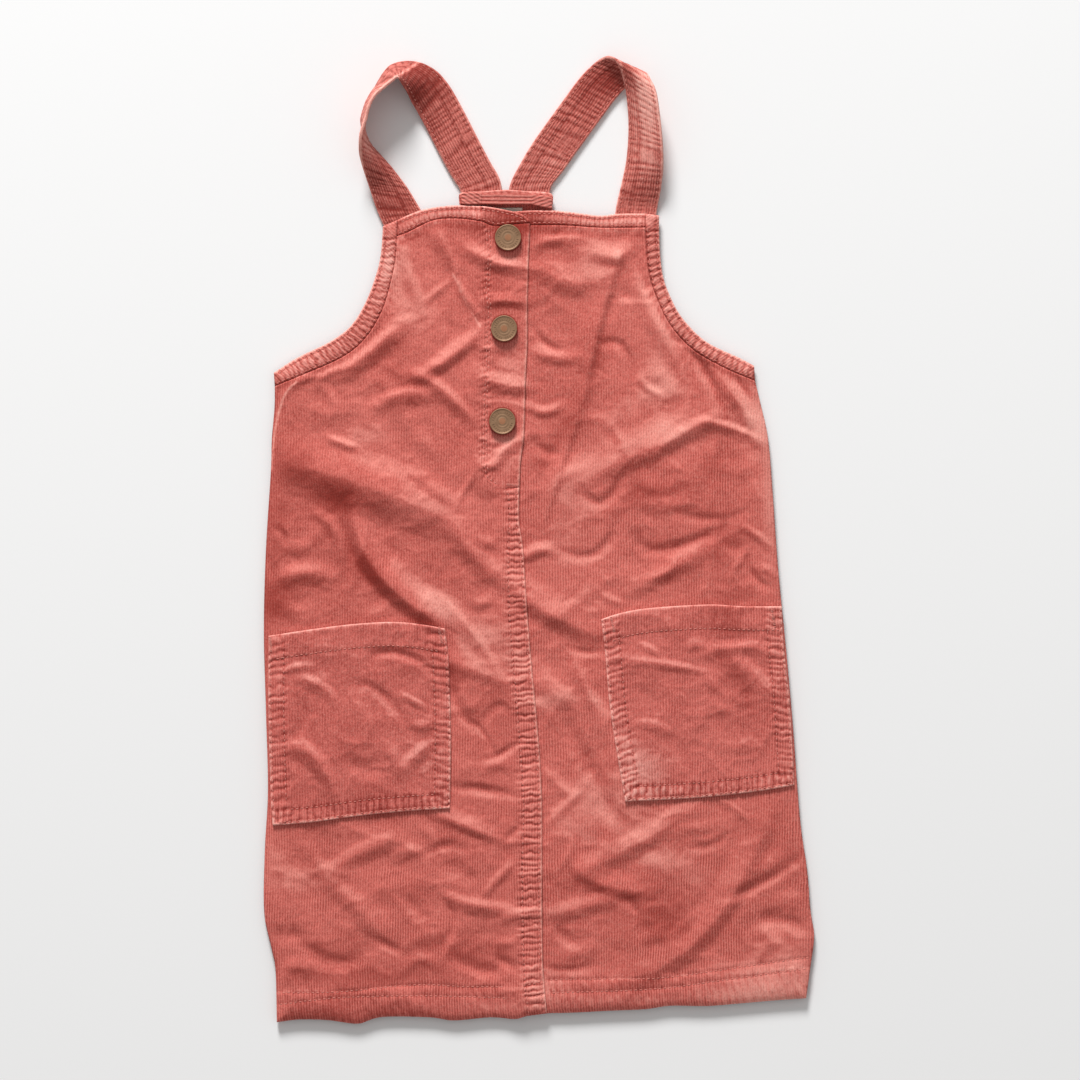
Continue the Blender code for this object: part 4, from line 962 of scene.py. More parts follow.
def fine_plan(rim, pitch, lines):
    """Triangles within an outline: a lattice, rings by the edge, rows by sewn lines."""
    loose = [pulled_in(rim, depth) for depth in EDGE_RINGS]
    for path in lines:
        path = resample(path, SEW_STEP)
        loose += [beside(path, side) for side in SEW_ROWS]
    loose = np.vstack(loose)
    _, first = np.unique(np.round(loose / MERGED).astype(int), axis=0, return_index=True)
    loose = loose[np.sort(first)]
    loose = loose[clear_of(loose, rim, RIM_CLEAR)]
    loose = loose[inside(loose, rim)]
    low, high = rim.min(axis=0), rim.max(axis=0)
    levels = np.arange(low[1], high[1], pitch * math.sqrt(0.75))
    lattice = np.array([(x + pitch / 2 * (index % 2), y) for index, y in enumerate(levels)
                        for x in np.arange(low[0], high[0], pitch)])
    lattice = lattice[inside(lattice, rim)]
    lattice = lattice[clear_of(lattice, np.vstack([rim, loose]), LATTICE_CLEAR * pitch)]
    points = np.vstack([rim, loose, lattice])
    count = len(rim)
    edges = [(k, (k + 1) % count) for k in range(count)]
    plan, _, faces, _, _, _ = delaunay_2d_cdt([Vector(p) for p in points], edges, [], 0, 1e-5)
    plan, faces = np.array(plan), np.array(faces)
    faces = faces[inside(plan[faces].mean(axis=1), rim)]
    a, b, c = (plan[faces[:, k]] for k in range(3))
    turn = (b[:, 0] - a[:, 0]) * (c[:, 1] - a[:, 1]) - (b[:, 1] - a[:, 1]) * (c[:, 0] - a[:, 0])
    faces = np.where((turn < 0)[:, None], faces[:, ::-1], faces)[abs(turn) > 1e-9]
    used, faces = np.unique(faces, return_inverse=True)
    return plan[used], faces.reshape(-1, 3)


def relief(points, sewn, puckered, doubled, pull):
    """Rise that seams and stitches give to the cloth by them, and tone: painted light and shade on
    the puckers, painted shade in the stitch grooves, a painted shadow ring round each snap.
    """
    lift, tone, pits = (np.zeros(len(points)) for _ in range(3))
    for path, reach, height in doubled:
        near, gap, _ = near_path(points, path, reach + 4)
        lift[near] += height * smoothstep((reach - gap) / 2.0 + 0.5)
    for path, low, high, fade, pitch, height, skew, seed in puckered:
        near, gap, along = near_path(points, path, high + 1)
        window = smoothstep((gap - low + 0.8) / 1.0) * smoothstep((high - gap) / fade)
        sway = mottle(np.column_stack([along, 1.3 * gap]), 0.9 * pitch, seed)
        phase = (along + skew * gap + 0.26 * pitch * sway) / pitch
        phase += 0.35 * ripple(along / (2.3 * pitch), seed)
        wave = rungs(phase, 1.3, 0.95)
        strength = 0.85 + 0.40 * mottle(np.column_stack([along, gap]), 1.3 * pitch, seed + 7)
        lift[near] += height * strength * window * wave
        # painted light and shade on the rungs: paler crests, deeper hollows, more on runs that lie
        # across, whose rungs the lamp hardly shades
        across, up = path[-1] - path[0]
        level_run = abs(across) / math.hypot(across, up)
        share = (0.40 + 0.40 * level_run) * min(1, height / 0.4)
        tone[near] += share * strength * window * wave
    for path in sewn:
        near, gap, along = near_path(points, path, 3)
        pit = 0.8 + 0.2 * np.cos(math.tau * along / STITCH)
        pits[near] -= pull * GROOVE * bell(gap, 0.8) * pit
        # painted shade in the stitch groove
        tone[near] -= pull * 0.22 * bell(gap, 0.7) * pit
    for centre in SNAPS.values():
        reach = np.linalg.norm(points - np.array(centre), axis=1)
        flat = smoothstep((reach - SNAP_RADIUS) / 2.5)
        lift, pits = lift * flat, pits * flat
        # painted shadow in a ring round the snap
        tone = tone * flat - 1.1 * (1 - smoothstep((reach - SNAP_RADIUS) / 1.3))
    return lift, tone, pits


def hollows(points, faces, level):
    """How much each point lies below its neighbours, smoothed a little."""
    first = np.concatenate([faces[:, k] for k in (0, 1, 2)])
    second = np.concatenate([faces[:, k] for k in (1, 2, 0)])
    count = np.maximum(np.bincount(first, minlength=len(points)), 1)
    spread = ((points[first] - points[second]) ** 2).sum(axis=1)
    rise = np.bincount(first, level[second] - level[first], len(points)) / count
    curve = rise / np.maximum(np.bincount(first, spread, len(points)) / count, 0.05)
    for _ in range(2):
        curve = (curve + np.bincount(first, curve[second], len(points)) / count) / 2
    return curve


def facing(points, faces, level):
    """The upward normal at each point of a height field."""
    a, b, c = (np.column_stack([points[faces[:, k]], level[faces[:, k]]]) for k in range(3))
    flat = np.cross(b - a, c - a)
    return unit(np.stack([sum(np.bincount(faces[:, k], flat[:, axis], len(points))
                              for k in range(3)) for axis in range(3)], axis=1))


def sewing(name, places):
    """Joined stitches, each a short thread that dips into the cloth at both ends."""
    centres, tangents, normals = (np.vstack(rows) for rows in zip(*places))
    sides, template = 6, []
    for reach, swell in zip(np.linspace(-1, 1, 5), (0.45, 0.92, 1.0, 0.92, 0.45)):
        for angle in (math.tau * m / sides for m in range(sides)):
            template.append((reach * STITCH_LENGTH / 2, THREAD * swell * math.cos(angle),
                             THREAD * 0.85 * swell * math.sin(angle)
                             - STITCH_DIP * reach ** 2))
    template = np.array(template)
    axes = (tangents, np.cross(normals, tangents), normals)
    verts = centres[:, None] + sum(template[None, :, k:k + 1] * axis[:, None]
                                   for k, axis in enumerate(axes))
    one = [face[::-1] for face in tube_faces(5, sides)]
    every = [tuple(i + index * len(template) for i in face)
             for index in range(len(centres)) for face in one]
    thing = mesh_object(name, verts.reshape(-1, 3), every, "thread")
    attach(thing, "root")
    return thing


def stitch_places(path, surface, seed):
    """Centre, direction and normal of each stitch along a plan path."""
    lengths = lengths_along(path)
    at = np.arange(STITCH / 2, lengths[-1], STITCH)
    ahead = unit(read_at(at + 0.5, lengths, path) - read_at(at - 0.5, lengths, path))
    sway = 0.16 * ripple(at * 0.7, seed)
    middle = read_at(at, lengths, path) + left_of(ahead) * sway[:, None]
    step = ahead * STITCH_LENGTH * 0.4
    before, after, level = surface(middle - step), surface(middle + step), surface(middle)
    tangents = unit(np.column_stack([ahead, (after - before) / (STITCH_LENGTH * 0.8)]))
    normals = np.cross(tangents, np.column_stack([left_of(ahead), np.zeros(len(ahead))]))
    level = np.maximum(level, (before + after) / 2) + THREAD * STITCH_LIFT
    return np.column_stack([middle, level]), tangents, normals


def tack_places(path, surface):
    """The same for a bar tack: close stitches that lie across a short line."""
    path = resample(np.array(path), TACK_STEP)
    across = left_of(unit(np.gradient(path, axis=0)))
    return (np.column_stack([path, surface(path) + THREAD * 0.6]),
            np.column_stack([across, np.zeros(len(path))]),
            np.tile((0.0, 0.0, 1.0), (len(path), 1)))


def sharpen(cloth, top_count):
    """Keep the shading of the cloth's face apart from the shading of its cut edges."""
    mesh = cloth.data

    def read(items, key, count):
        values = np.empty(count * len(items), np.int32)
        items.foreach_get(key, values)
        return values

    ends = read(mesh.edges, "vertices", 2).reshape(-1, 2)
    sizes = read(mesh.polygons, "loop_total", 1)
    counts = np.zeros(len(mesh.edges), int)
    np.add.at(counts, read(mesh.loops, "edge_index", 1)[np.repeat(sizes, sizes) == 4], 1)
    rim = (counts > 0) & (ends < top_count).all(axis=1)
    mesh.attributes.new("sharp_edge", "BOOLEAN", "EDGE").data.foreach_set("value", rim)


def join_shell(top, bottom, faces):
    """Vertices and faces of a closed shell from its two faces' points."""
    count = len(top)
    pairs = np.concatenate([faces[:, (k, (k + 1) % 3)] for k in range(3)])
    keys = {(int(a), int(b)) for a, b in pairs}
    walls = [(b, a, a + count, b + count) for a, b in keys if (b, a) not in keys]
    every = [tuple(face) for face in faces.tolist()]
    every += [tuple(c + count for c in face[::-1]) for face in faces.tolist()]
    return np.vstack([top, bottom]), every + walls


def edge_profile(places, paths, reach, left):
    """Share of the full thickness near some edges, from left at the edge to 1."""
    share = np.ones(len(places))
    for path in paths:
        near, gap, _ = near_path(places, path, reach)
        bulge = np.sqrt(1 - (1 - np.clip(gap / reach, 0, 1)) ** 2)
        share[near] = np.minimum(share[near], left + (1 - left) * bulge)
    return share


def zone_sum(points, zones):
    """Sum of soft round zones: place and reach across and down (px), amount."""
    total = np.zeros(len(points))
    for x, y, wide, tall, amount in zones:
        offset = (points - np.array(pixel_path((x, y))[0])) / (wide * PIXEL, tall * PIXEL)
        total += amount * np.exp(-(offset ** 2).sum(axis=1))
    return total


def cloth_piece(node, outline, pitch, under, wall, slot, sewn=(), puckered=(), worn_and_painted_light=(),
                doubled=(), open_edges=(), seams=(), grain_seed=0.0, turn=0.0, pull=1.0,
                tacks=(), sharp=()):
    """A thin closed shell of cloth over an outline, with its stitches."""
    open_edges, seams, sharp = each_run(open_edges), each_run(seams), each_run(sharp)
    sewn = [row if isinstance(row, np.ndarray) else line(*row) for row in sewn]
    puckered = [(run(names), *row) for names, *row in puckered]
    doubled = [(run(names), *row) for names, *row in doubled]
    rim = pulled_in(outline, SEAM_SLIT)
    points, faces = fine_plan(rim, pitch, [*sewn, *sharp])

    def top_of(places, full=False):
        base = under(places)
        lift, tone, pits = relief(places, sewn, puckered, doubled, pull)
        share = np.minimum(edge_profile(places, open_edges, EDGE_ROUND, EDGE_LEFT),
                           edge_profile(places, seams, SEAM_ROUND, SEAM_LEFT / wall))
        level = base + wall * share + (lift + pits) * smoothstep((share - 0.5) / 0.4)
        return (level, base, tone, base + lift) if full else level

    level, base, tone, flat = top_of(points, True)
    # painted shade in the hollows, paler rubbed crests
    tone = tone - np.clip(hollows(points, faces, flat) * 2.2, -0.4, 0.45)
    # painted light and shade: faces leaning towards the lamp, by the neck, made paler, those
    # leaning away deeper
    lean = facing(points, faces, flat)
    tone = tone + np.clip(PAINTED_LEAN_LIGHT * lean[:, 1], -PAINTED_LEAN_LIGHT_MOST, PAINTED_LEAN_LIGHT_MOST)
    # painted light and shade of the front's folds, with some washed fading, in zones and along
    # long folds
    if node in FRONT:
        tone = tone + zone_sum(points, FADE_AND_PAINTED_LIGHT_ZONES)
        for pixels, width, amount in FOLD_TONES:
            gap, _ = nearest_on_path(points, smooth_run(pixel_path(*pixels), 6.0))
            tone = tone + amount * bell(gap, width)
    # rubbed pale edges, and painted light and shade lines beside seams, stitches and folds
    for names, side, width, amount, seed in worn_and_painted_light:
        gap, along = nearest_on_path(points, beside(run(names), side))
        tone += amount * bell(gap, width) * (0.8 + 0.2 * ripple(along / 2.5, seed))
    drift = 1.1 * mottle(points, 90, 5) + 0.35 * mottle(points, 30, 6)
    across = points[:, 0] * math.cos(turn) + points[:, 1] * math.sin(turn)
    along = points[:, 1] * math.cos(turn) - points[:, 0] * math.sin(turn)
    grain = np.column_stack([across + drift + 0.3 * base, along,
                             np.full(len(points), grain_seed)])
    verts, every = join_shell(np.column_stack([points, level]),
                              np.column_stack([points, base]), faces)
    zones = [(x, y, reach, reach, amount) for x, y, reach, amount in WALE_ZONES]
    cloth = mesh_object(
        "cloth_" + node, verts, every, slot, grain=np.vstack([grain, grain]),
        tone=np.concatenate([tone, np.zeros(len(tone))]),
        wales=np.tile(np.clip(1 + zone_sum(points, zones), 0.3, 2.0), 2))
    sharpen(cloth, len(points))
    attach(cloth, "root")
    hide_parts(node)
    if not sewn:
        return cloth, []
    placed = [stitch_places(path, top_of, 31 + k) for k, path in enumerate(sewn)]
    placed += [tack_places(path, top_of) for path in tacks]
    return cloth, [sewing("sewing_" + node, placed)]


# ---------------------------------------------------------------- cloth of the front

HEM_SEWN = {name: [smooth_run(pixel_path(*pixels), 2.0) for pixels in rows]
            for name, rows in {
    "front_left": [((279, 1003.5), (339, 997), (408, 995), (467, 996), (505, 997)),
                   ((277, 992), (339, 991), (418, 984), (467, 986), (503, 986))],
    "centre_lap": [((510, 997), (530, 996), (545, 993)), ((508, 986), (528, 984), (543, 980))],
    "front_right": [((551, 992), (619, 990), (668, 987), (718, 980), (806, 968)),
                    ((549, 979), (619, 978), (664, 977), (728, 968), (807, 957))]}.items()}
PANEL = dict(pitch=1.5, wall=CORD_WALL, slot="cord")
BAND = dict(pitch=0.95, wall=BAND_WALL, slot="cord_band", pull=1.1)

# Columns of the rows below:
#   sewn      runs, how far to their left, and what is left off at the start and end
#   puckered  runs, from and to, fade, pitch of the rungs, height, skew, seed
#   doubled   runs, reach, extra height
#   worn      runs, how far to their left, half width, tone, seed: rubbed pale edges (+),
#             and painted light and shade lines along seams, stitches and folds
FRONT = {
    "front_left": dict(
        PANEL, under=lapped_height, open_edges="side_l hem_l", seams="inner_l neck_l",
        grain_seed=3.0, sewn=HEM_SEWN["front_left"], sharp="side_fold bib_crest",
        puckered=[("inner_l", 0, 8, 6, 4.6, 0.22, 0.5, 21),
                  ("neck_l", 0, 7, 6, 5.5, 0.24, 0.1, 22),
                  ("placket", 0, 8, 7, 4.4, 0.30, -0.4, 23),
                  ("strip", 0, 5, 4, 4.3, 0.45, 0.05, 24),
                  ("hem_l", 0, 21, 3, 5.2, 0.16, 0.3, 25)],
        doubled=[("hem_l", 19.0, 0.35), ("neck_l", 1.6, 0.5), ("inner_l", 1.6, 0.4)],
        worn_and_painted_light=[("hem_l", 0, 1.1, 0.6, 41), ("neck_l", -1.9, 1.0, 0.75, 141),
              ("side_fold", 0, 0.8, 1.2, 145), ("side_fold", -3.2, 2.6, -0.4, 148),
              ("bib_crest", 0, 0.8, 0.9, 157), ("neck_l", -4.8, 1.6, -0.45, 142)]),
    "front_right": dict(
        PANEL, under=front_height, open_edges="hem_r side_r placket strip hem_lap neck_p",
        seams="inner_r neck_r", grain_seed=11.0, sewn=HEM_SEWN["front_right"],
        puckered=[("inner_r", 0, 9, 7, 5.6, 0.24, 0.5, 26),
                  ("neck_r", 0, 7, 6, 5.4, 0.24, 0.1, 27),
                  ("lap_low", 0, 6, 5, 6.5, 0.18, 0.2, 28),
                  ("hem_r", 0, 23, 3, 5.6, 0.16, 0.3, 29)],
        doubled=[("hem_r", 20.0, 0.35), ("neck_r", 1.6, 0.5), ("inner_r", 1.6, 0.4)],
        worn_and_painted_light=[("hem_r", 0, 1.2, 0.75, 42), ("neck_r", -1.9, 1.0, 0.75, 143),
              ("neck_r", -4.8, 1.6, -0.45, 144)]),
    "placket": dict(
        PANEL | dict(pitch=0.95), under=lapped_height, open_edges="lap_up",
        seams="neck_p toe", grain_seed=3.0, pull=0.6,
        sewn=[("placket", 1.7, 4, 6), ("placket", 3.4, 5, 14)],
        puckered=[("placket", 0, 8, 6, 4.4, 0.30, 0.4, 23),
                  ("lap_up", 0, 5, 4, 6.5, 0.20, 0.3, 31)],
        worn_and_painted_light=[("lap_up", 0, 1.1, 1.0, 43)], tacks=[pixel_path((507, 484.5), (518, 485))]),
    "centre_lap": dict(
        PANEL | dict(pitch=0.78), under=lapped_height, open_edges="lap_low hem_lap",
        seams="toe", grain_seed=3.0,
        sewn=[("strip", 1.2, 2, 2), ("lap_low", -1.9, 3, 2)] + HEM_SEWN["centre_lap"],
        puckered=[("strip", 0, 16, 6, 4.3, 0.55, 0.05, 24)],
        worn_and_painted_light=[("lap_low", 0, 1.1, 1.1, 45)]),
    "neck_band_left": dict(
        BAND, under=lapped_height, open_edges="top_l lap_corner lap_tip",
        seams="mitre_l neck_p neck_l", grain_seed=19.0,
        sewn=[("top_l lap_corner", -2.2, 1.5, 2), ("neck_l neck_p", 1.5, 1.5, 3.5)],
        puckered=[("neck_l neck_p", 0, 11, 2, 2.9, 0.24, 0.05, 33)],
        worn_and_painted_light=[("top_l lap_corner", 0, 0.9, 0.9, 46), ("top_l", -2.2, 0.8, -0.95, 146),
              ("top_l", -5.2, 1.9, 0.30, 151), ("neck_l", 0, 1.3, -1.1, 246),
              ("neck_p", 0, 1.3, -1.1, 247), ("mitre_l", 0, 0.9, -0.8, 152)]),
    "neck_band_right": dict(
        BAND, under=front_height, open_edges="top_r", seams="mitre_r neck_r", grain_seed=23.0,
        sewn=[("top_r", -2.2, 6, 1.5), ("neck_r", 1.5, 1.5, 1.5)],
        puckered=[("neck_r", 0, 11, 2, 3.0, 0.24, -0.05, 34)],
        worn_and_painted_light=[("top_r", 0, 0.9, 0.9, 47), ("top_r", -2.2, 0.8, -0.95, 147),
              ("top_r", -5.2, 1.9, 0.30, 153), ("neck_r", 0, 1.3, -1.1, 248),
              ("mitre_r", 0, 0.9, -0.8, 154)])}
for side, inward, ribs, seeds in (("l", -1, (3.9, 0.45, 0.1, 35), (29.0, 48, 249, 155)),
                                   ("r", 1, (4.6, 0.48, -0.15, 36), (31.0, 49, 250, 156))):
    arm, inner = "arm_" + side, "inner_" + side
    FRONT["armhole_band_" + {"l": "left", "r": "right"}[side]] = dict(
        BAND, under=front_height, open_edges=f"{arm} corner_{side} end_{side}",
        seams=f"{inner} mitre_{side}", grain_seed=seeds[0], turn=-0.9 * inward,
        sewn=[(arm, 2.0 * inward, 2, 1.5), (inner, -1.4 * inward, 2, 2)],
        puckered=[(inner, 0, 12, 2, *ribs)],
        worn_and_painted_light=[(arm, 0, 0.9, 0.8, seeds[1]), (inner, 0, 1.1, -1.0, seeds[2]),
              (arm, 2.0 * inward, 0.7, -0.6, seeds[3])])
# each pocket: what it lies on, pitch and height of its rungs, bar tacks at its two corners
for number, (pocket, below, ribs, tacks) in enumerate((
        ("pocket_left", lapped_height, (5.2, 0.55),
         (((439, 627), (442, 642)), ((271, 637), (272, 651)))),
        ("pocket_right", front_height, (4.6, 0.50),
         (((771, 610), (774, 627)), ((611, 617), (614, 631)))))):
    sides = [smooth_run(side, COARSE_STEP) for side in POCKETS[pocket]]
    FRONT[pocket] = dict(
        pitch=1.1, wall=POCKET_WALL, slot="cord_pocket", open_edges=sides, pull=0.45,
        under=lambda points, below=below: below(points) + CORD_WALL + LAYER_GAP,
        grain_seed=37.0 + number, tacks=[pixel_path(*ends) for ends in tacks],
        sewn=[pocket_line(pocket, *row) for row in (
            (0, 15.2, 2, 2), (1, 1.7, 2, 2), (2, 1.7, 2, 2), (3, 1.7, 2, 2), (1, 9.9, 15, 9),
            (2, 9.6, 9, 9), (3, 9.9, 15, 9))],
        puckered=[(sides[k], 0, reach, fade, *rows, seed + number)
                  for k, reach, fade, rows, seed in (
                      (1, 15, 7, (*ribs, 0.2), 51), (2, 13, 5, (4.4, 0.45, 0.1), 53),
                      (3, 15, 7, (*ribs, -0.2), 55), (0, 16, 4, (7.4, 0.10, 0.1), 57))],
        doubled=[(sides[0], 15.5, 0.3)],
        worn_and_painted_light=[(sides[k], 0, width, tone, seed + number) for k, width, tone, seed in (
            (0, 1.1, 1.0, 61), (1, 1.1, 0.95, 63), (3, 1.1, 0.95, 65), (2, 1.2, 1.1, 67))]
        + [(pocket_line(pocket, k, *row), 0, width, tone, seed + number)
           for k, row, width, tone, seed in (
               (1, (9.9, 15, 4), 0.8, -0.45, 71), (2, (9.6, 4, 4), 0.9, -0.75, 73),
               (2, (2.6, 2, 2), 0.8, -0.45, 75), (3, (9.9, 15, 4), 0.8, -0.45, 77))])


# ---------------------------------------------------------------- straps and back neck

def strap(name, seed):
    """A strap: a ribbon of doubled cord, sewn down both edges, with rounded sides."""
    rows = smooth_run(STRAP_ROWS[name], steps=12)
    middle = (rows[:, :3] + rows[:, 3:]) / 2
    lengths = lengths_along(middle)
    along = np.linspace(0, lengths[-1], round(lengths[-1] / 0.95))
    middle = read_at(along, lengths, middle)
    lie = unit(read_at(along, lengths, rows[:, 3:] - rows[:, :3]))
    ahead = np.gradient(middle, axis=0)
    normal = unit(np.cross(lie, ahead))
    edge = STRAP_WIDTH / 2
    turn = np.linspace(-1, 1, 35)
    across = np.sign(turn) * (1 - (1 - np.abs(turn)) ** 1.12) * STRAP_WIDTH / 2
    margin = edge - np.abs(across)
    half = STRAP_WALL / 2 * (0.30 + 0.70 * np.sqrt(1 - (1 - np.clip(margin / 1.1, 0, 1)) ** 2))

    def relief_of(s, u, face):
        gap = np.abs(edge - np.abs(u) - STRAP_SEWN)
        fold = STRAP_FOLD[name] + 0.5 * ripple(s / 25, seed + 8)
        side = np.where(u > fold, 0, 50) + face * 200
        phase = s / 4.3 + 0.9 * ripple(s / 11 + side, seed) + 0.03 * (u - fold)
        wave = rungs(phase, 1.6, 1.2)
        reach = smoothstep((edge - 0.4 - np.abs(u)) / 1.5 + 0.4)
        places = np.column_stack([np.ravel(s), 1.5 * np.ravel(u)])
        strength = reach * (0.7 + 0.45 * mottle(places, 7.0, seed + 3).reshape(np.shape(s)))
        ridge = np.cos(u * math.tau / 5.6 + 0.6 * ripple(s / 30, seed + 5))
        sunk = bell(u - fold, 1.1) * (0.65 + 0.35 * np.sin(math.tau * s / STITCH))
        lift = (-0.26 * bell(gap, 0.75) + 0.34 * strength * wave
                + 0.10 * ridge * smoothstep((edge - np.abs(u) - 3) / 2) - 0.35 * sunk)
        # painted shade along the stitch rows and the inner seam, painted light and shade on the
        # rungs
        tone = -0.45 * bell(gap, 0.7) + 0.85 * strength * wave - 0.55 * sunk + 0.08 * ridge
        return lift, tone

    s_grid, u_grid = np.meshgrid(along, across, indexing="ij")
    ribbon = middle[:, None] + lie[:, None] * u_grid[..., None]
    plan = ribbon[..., :2].reshape(-1, 2)
    verts, tones, grains = [], [], []
    for face in (1, -1):
        lift, tone = relief_of(s_grid, u_grid, face)
        # rubbed pale edges, then painted light and shade where the strap faces the lamp and turns
        # from it, and painted highlights along its turn-over edges
        rubbed = bell(edge - np.abs(u_grid), 0.9) * (0.75 + 0.25 * ripple(s_grid / 3, seed + 9))
        tone = (tone + rubbed).ravel() + zone_sum(plan, STRAP_PAINTED_LIGHT)
        for path, width, amount in STRAP_RIMS:
            gap, _ = nearest_on_path(plan, np.array(pixel_path(*path)))
            tone = tone + amount * bell(gap, width)
        rise = half[None, :] + lift * smoothstep(margin / 0.9)[None, :]
        verts.append((ribbon + face * normal[:, None] * rise[..., None]).reshape(-1, 3))
        tones.append(tone)
        grains.append(np.column_stack([u_grid.ravel() + 40 * face, s_grid.ravel(),
                                       np.full(u_grid.size, seed * 3.0)]))
    cloth = mesh_object("cloth_" + name, np.vstack(verts), slab_faces(*s_grid.shape), "strap",
                        grain=np.vstack(grains), tone=np.concatenate(tones),
                        wales=np.ones(2 * s_grid.size))
    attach(cloth, "root")
    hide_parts(name)

    placed = []
    at = np.arange(3, along[-1] - 3, STITCH)
    for face in (1, -1):
        out = read_at(at, along, normal) * face
        for u in (STRAP_SEWN - edge, edge - STRAP_SEWN):
            lift, _ = relief_of(at, np.full(len(at), u), face)
            place = read_at(at, along, middle) + read_at(at, along, lie) * u
            placed.append((place + out * (STRAP_WALL / 2 + lift + 0.15)[:, None],
                           read_at(at, along, unit(ahead)), out))
    sewn_on = sewing("sewing_" + name, placed)


def loop():
    """The hanging loop: a short strip of cord with its ribs along it, folded at the ends."""
    rows = smooth_run(LOOP_ROWS, steps=10)
    cells = 26
    verts, tones = [], []
    for x, low, high, base, top in rows:
        mid, half = (base + top) / 2, (top - base) / 2
        for k in range(2 * (cells + 1)):
            t = k / cells if k <= cells else 1 - (k - cells - 1) / cells
            edge = min(t, 1 - t) * (high - low)
            z = half * (0.35 + 0.65 * math.sqrt(1 - (1 - min(edge / 0.7, 1)) ** 2))
            rib = 0.62
            if k <= cells:
                slant = 0.22 * (min(0, x + 37.5) - max(0, x + 4.5))
                rib = abs(math.sin(math.pi * (3 * t + slant)))
                z += 0.42 * (rib - 0.7) * min(1, edge / 0.5)
            verts.append((x, low + (high - low) * t, mid + (z if k <= cells else -z)))
            tones.append(rib - 0.62)
    grain = np.array([(y, x, 9.0) for x, y, _ in verts])
    cloth = mesh_object("cloth_hanging_loop", verts, tube_faces(len(rows), 2 * (cells + 1)),
                        "loop", grain=grain, tone=tones, wales=np.ones(len(verts)))
    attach(cloth, "root")
    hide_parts("hanging_loop")


def label():
    """A small blank woven label, a little bowed."""
    (cx, cy, cz), (wide, tall) = LABEL_CENTRE, LABEL_SIZE
    verts = []
    for face in (1, -1):
        for v in (2 * j / 20 - 1 for j in range(21)):
            for u in (2 * i / 34 - 1 for i in range(35)):
                edge = min(1, (1 - abs(u)) * wide, (1 - abs(v)) * tall)
                bow = 0.28 * u * u + 0.08 * math.sin(5 * u + 2 * v)
                verts.append((cx + u * wide / 2, cy + v * tall / 2 + 0.12 * math.sin(3 * u),
                              cz - 0.15 + bow + face * 0.35 * (0.3 + 0.7 * edge)))
    thing = mesh_object("woven_label", verts, slab_faces(21, 35), "label")
    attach(thing, "root")
    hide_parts("neck_label")


def snap(name):
    """A brass snap: ring cap with generic ticks, and a coppery middle."""
    cx, cy = SNAPS[name]
    base = SNAP_SEAT_HEIGHT + LAP_RISE + BAND_WALL + SEAM_GAP
    sides = 72
    verts = [(cx + radius * SNAP_RADIUS * math.cos(math.tau * k / sides),
              cy + radius * SNAP_RADIUS * math.sin(math.tau * k / sides),
              base + height * SNAP_HEIGHT)
             for radius, height in SNAP_PROFILE for k in range(sides)]
    cap = mesh_object(name + "_cap", verts, tube_faces(len(SNAP_PROFILE), sides), "brass")
    cap.data.materials.append(MATERIALS["copper"])
    for polygon in cap.data.polygons:
        radius = math.hypot(polygon.center.x / MM - cx, polygon.center.y / MM - cy)
        if radius < COPPER_RADIUS * SNAP_RADIUS and polygon.normal.z > 0:
            polygon.material_index = 1
    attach(cap, "root")
    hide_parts(name)

    ticks, faces = [], []
    for k in range(TICKS):
        if k % 13 in (0, 6):
            continue
        angle = math.tau * (k + 0.3) / TICKS
        out, side = (math.cos(angle), math.sin(angle)), (-math.sin(angle), math.cos(angle))
        outer = TICK_OUTER + 0.02 * (k % 3)
        start = len(ticks)
        for rise, long, wide in ((-0.25, 1, 1.0), (0.20, 0.9, 0.72)):
            for radius, sign in ((TICK_INNER, -1), (outer, -1), (outer, 1), (TICK_INNER, 1)):
                r = (TICK_MIDDLE + (radius - TICK_MIDDLE) * long) * SNAP_RADIUS
                w = sign * TICK_HALF * SNAP_RADIUS * wide
                ticks.append((cx + r * out[0] + w * side[0], cy + r * out[1] + w * side[1],
                              base + 0.84 * SNAP_HEIGHT + rise))
        faces += [tuple(start + i for i in quad) for quad in (
            (3, 2, 1, 0), (4, 5, 6, 7), (0, 1, 5, 4), (1, 2, 6, 5), (2, 3, 7, 6), (3, 0, 4, 7))]
    marks = mesh_object(name + "_ticks", ticks, faces, "brass", smooth=False)
    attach(marks, "root")


# ---------------------------------------------------------------- build it

outline = back_outline(FINE_STEP)
hem = smooth_run([(-166, BACK_HEM_LEFT), *BACK_HEM_MIDDLE, (169, BACK_HEM_RIGHT)], 3.0)
cloth, extra = cloth_piece(
    "back_panel", outline, 2.5, back_lift, BACK_WALL, "cord",
    sewn=[trimmed(beside(run(name), -in_from), start, 3)
          for name in ("racer_l", "racer_r") for in_from, start in ((1.9, 3), (9.5, 6))]
    + [trimmed(beside(hem, up), 4, 4) for up in (12, 18)],
    puckered=[("racer_l", 0, 11, 3, 4.4, 0.3, 0.2, 71), ("racer_r", 0, 11, 3, 4.6, 0.3, 0.2, 72)],
    worn_and_painted_light=[("racer_l", 0, 0.9, 0.4, 73), ("racer_r", 0, 0.9, 0.4, 74)],
    open_edges=[closed(back_outline(4.0))], grain_seed=41.0)
outline = np.vstack([smooth_run(BAND_PLAN, 1.0)[:-1],
                     smooth_run([BAND_PLAN[-1], BAND_PLAN[0]], 1.0)[:-1]])
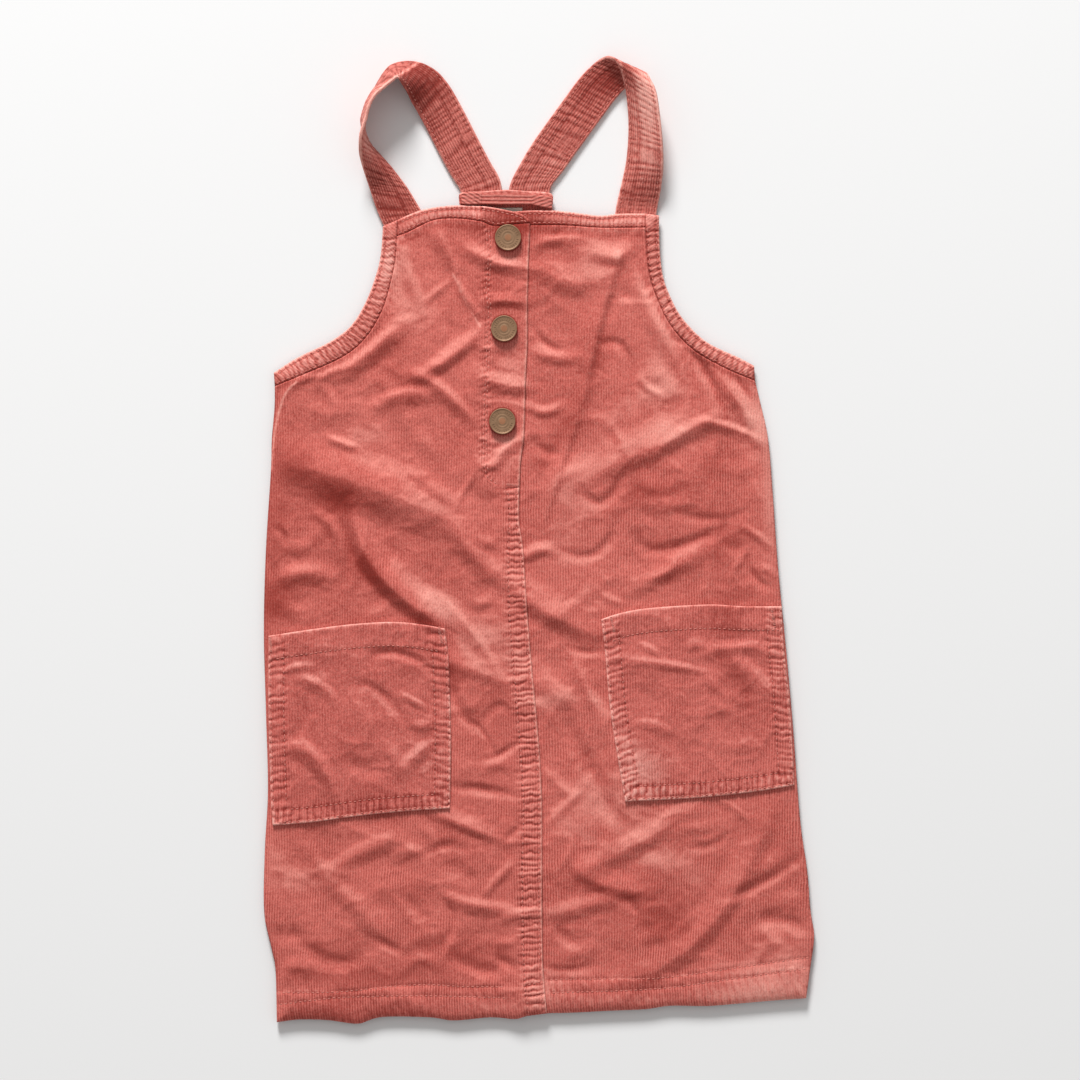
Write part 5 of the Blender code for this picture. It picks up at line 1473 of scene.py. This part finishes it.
cloth, extra = cloth_piece(
    "back_neck_band", outline, 0.9, lambda points: np.full(len(points), BAND_BASE),
    BAND_TOP - BAND_BASE, "cord_band",
    puckered=[(np.array([(-51.0, 214.2), (9.0, 214.2)]), 0, 10, 2, 4.2, 0.25, 0.2, 75)],
    worn_and_painted_light=[(smooth_run(BAND_PLAN[1:-1], 2.0), 0, 1.2, 0.7, 76)], open_edges=[closed(outline)],
    grain_seed=43.0, turn=math.pi / 2)
for piece, facts in FRONT.items():
    outline = OUTLINES[piece]
    cloth, extra = cloth_piece(piece, outline, **facts)
strap("strap_left", 81)
strap("strap_right", 84)
loop()
label()
for snap_name in SNAPS:
    snap(snap_name)


# ---------------------------------------------------------------- room

FLOOR_HALF, FLOOR_LEVEL = 5000, -0.4
KEY_PLACE, KEY_SIZE, KEY_POWER = (-0.76, 4.35, 2.35), 1.5, 312
FILL_STRENGTH = 0.43
CAMERA_HEIGHT, CAMERA_FILM, PHOTO_PIXELS = 4.0, 36, 1080

floor = mesh_object("floor", [(x * FLOOR_HALF, y * FLOOR_HALF, FLOOR_LEVEL) for x, y in
                              ((-1, -1), (1, -1), (1, 1), (-1, 1))], [(0, 1, 2, 3)], "floor",
                    smooth=False)

scene = bpy.context.scene
world = bpy.data.worlds.new("studio")
world.use_nodes = True
world.node_tree.nodes["Background"].inputs["Color"].default_value = (1.0, 0.99, 0.98, 1)
world.node_tree.nodes["Background"].inputs["Strength"].default_value = FILL_STRENGTH
scene.world = world

lamp = bpy.data.lights.new("key", "AREA")
lamp.shape, lamp.size, lamp.energy = "DISK", KEY_SIZE, KEY_POWER
key = bpy.data.objects.new("key", lamp)
key.location = KEY_PLACE
key.rotation_mode = "QUATERNION"
key.rotation_quaternion = (-Vector(KEY_PLACE)).to_track_quat("-Z", "Y")
scene.collection.objects.link(key)

scene.view_settings.view_transform = "Standard"
camera = bpy.data.cameras.new("camera")
camera.sensor_width = CAMERA_FILM
camera.lens = CAMERA_FILM * CAMERA_HEIGHT / (PHOTO_PIXELS * PIXEL * MM)
eye = bpy.data.objects.new("camera", camera)
eye.location = (0.00064, -0.00032, CAMERA_HEIGHT)
scene.collection.objects.link(eye)
scene.camera = eye
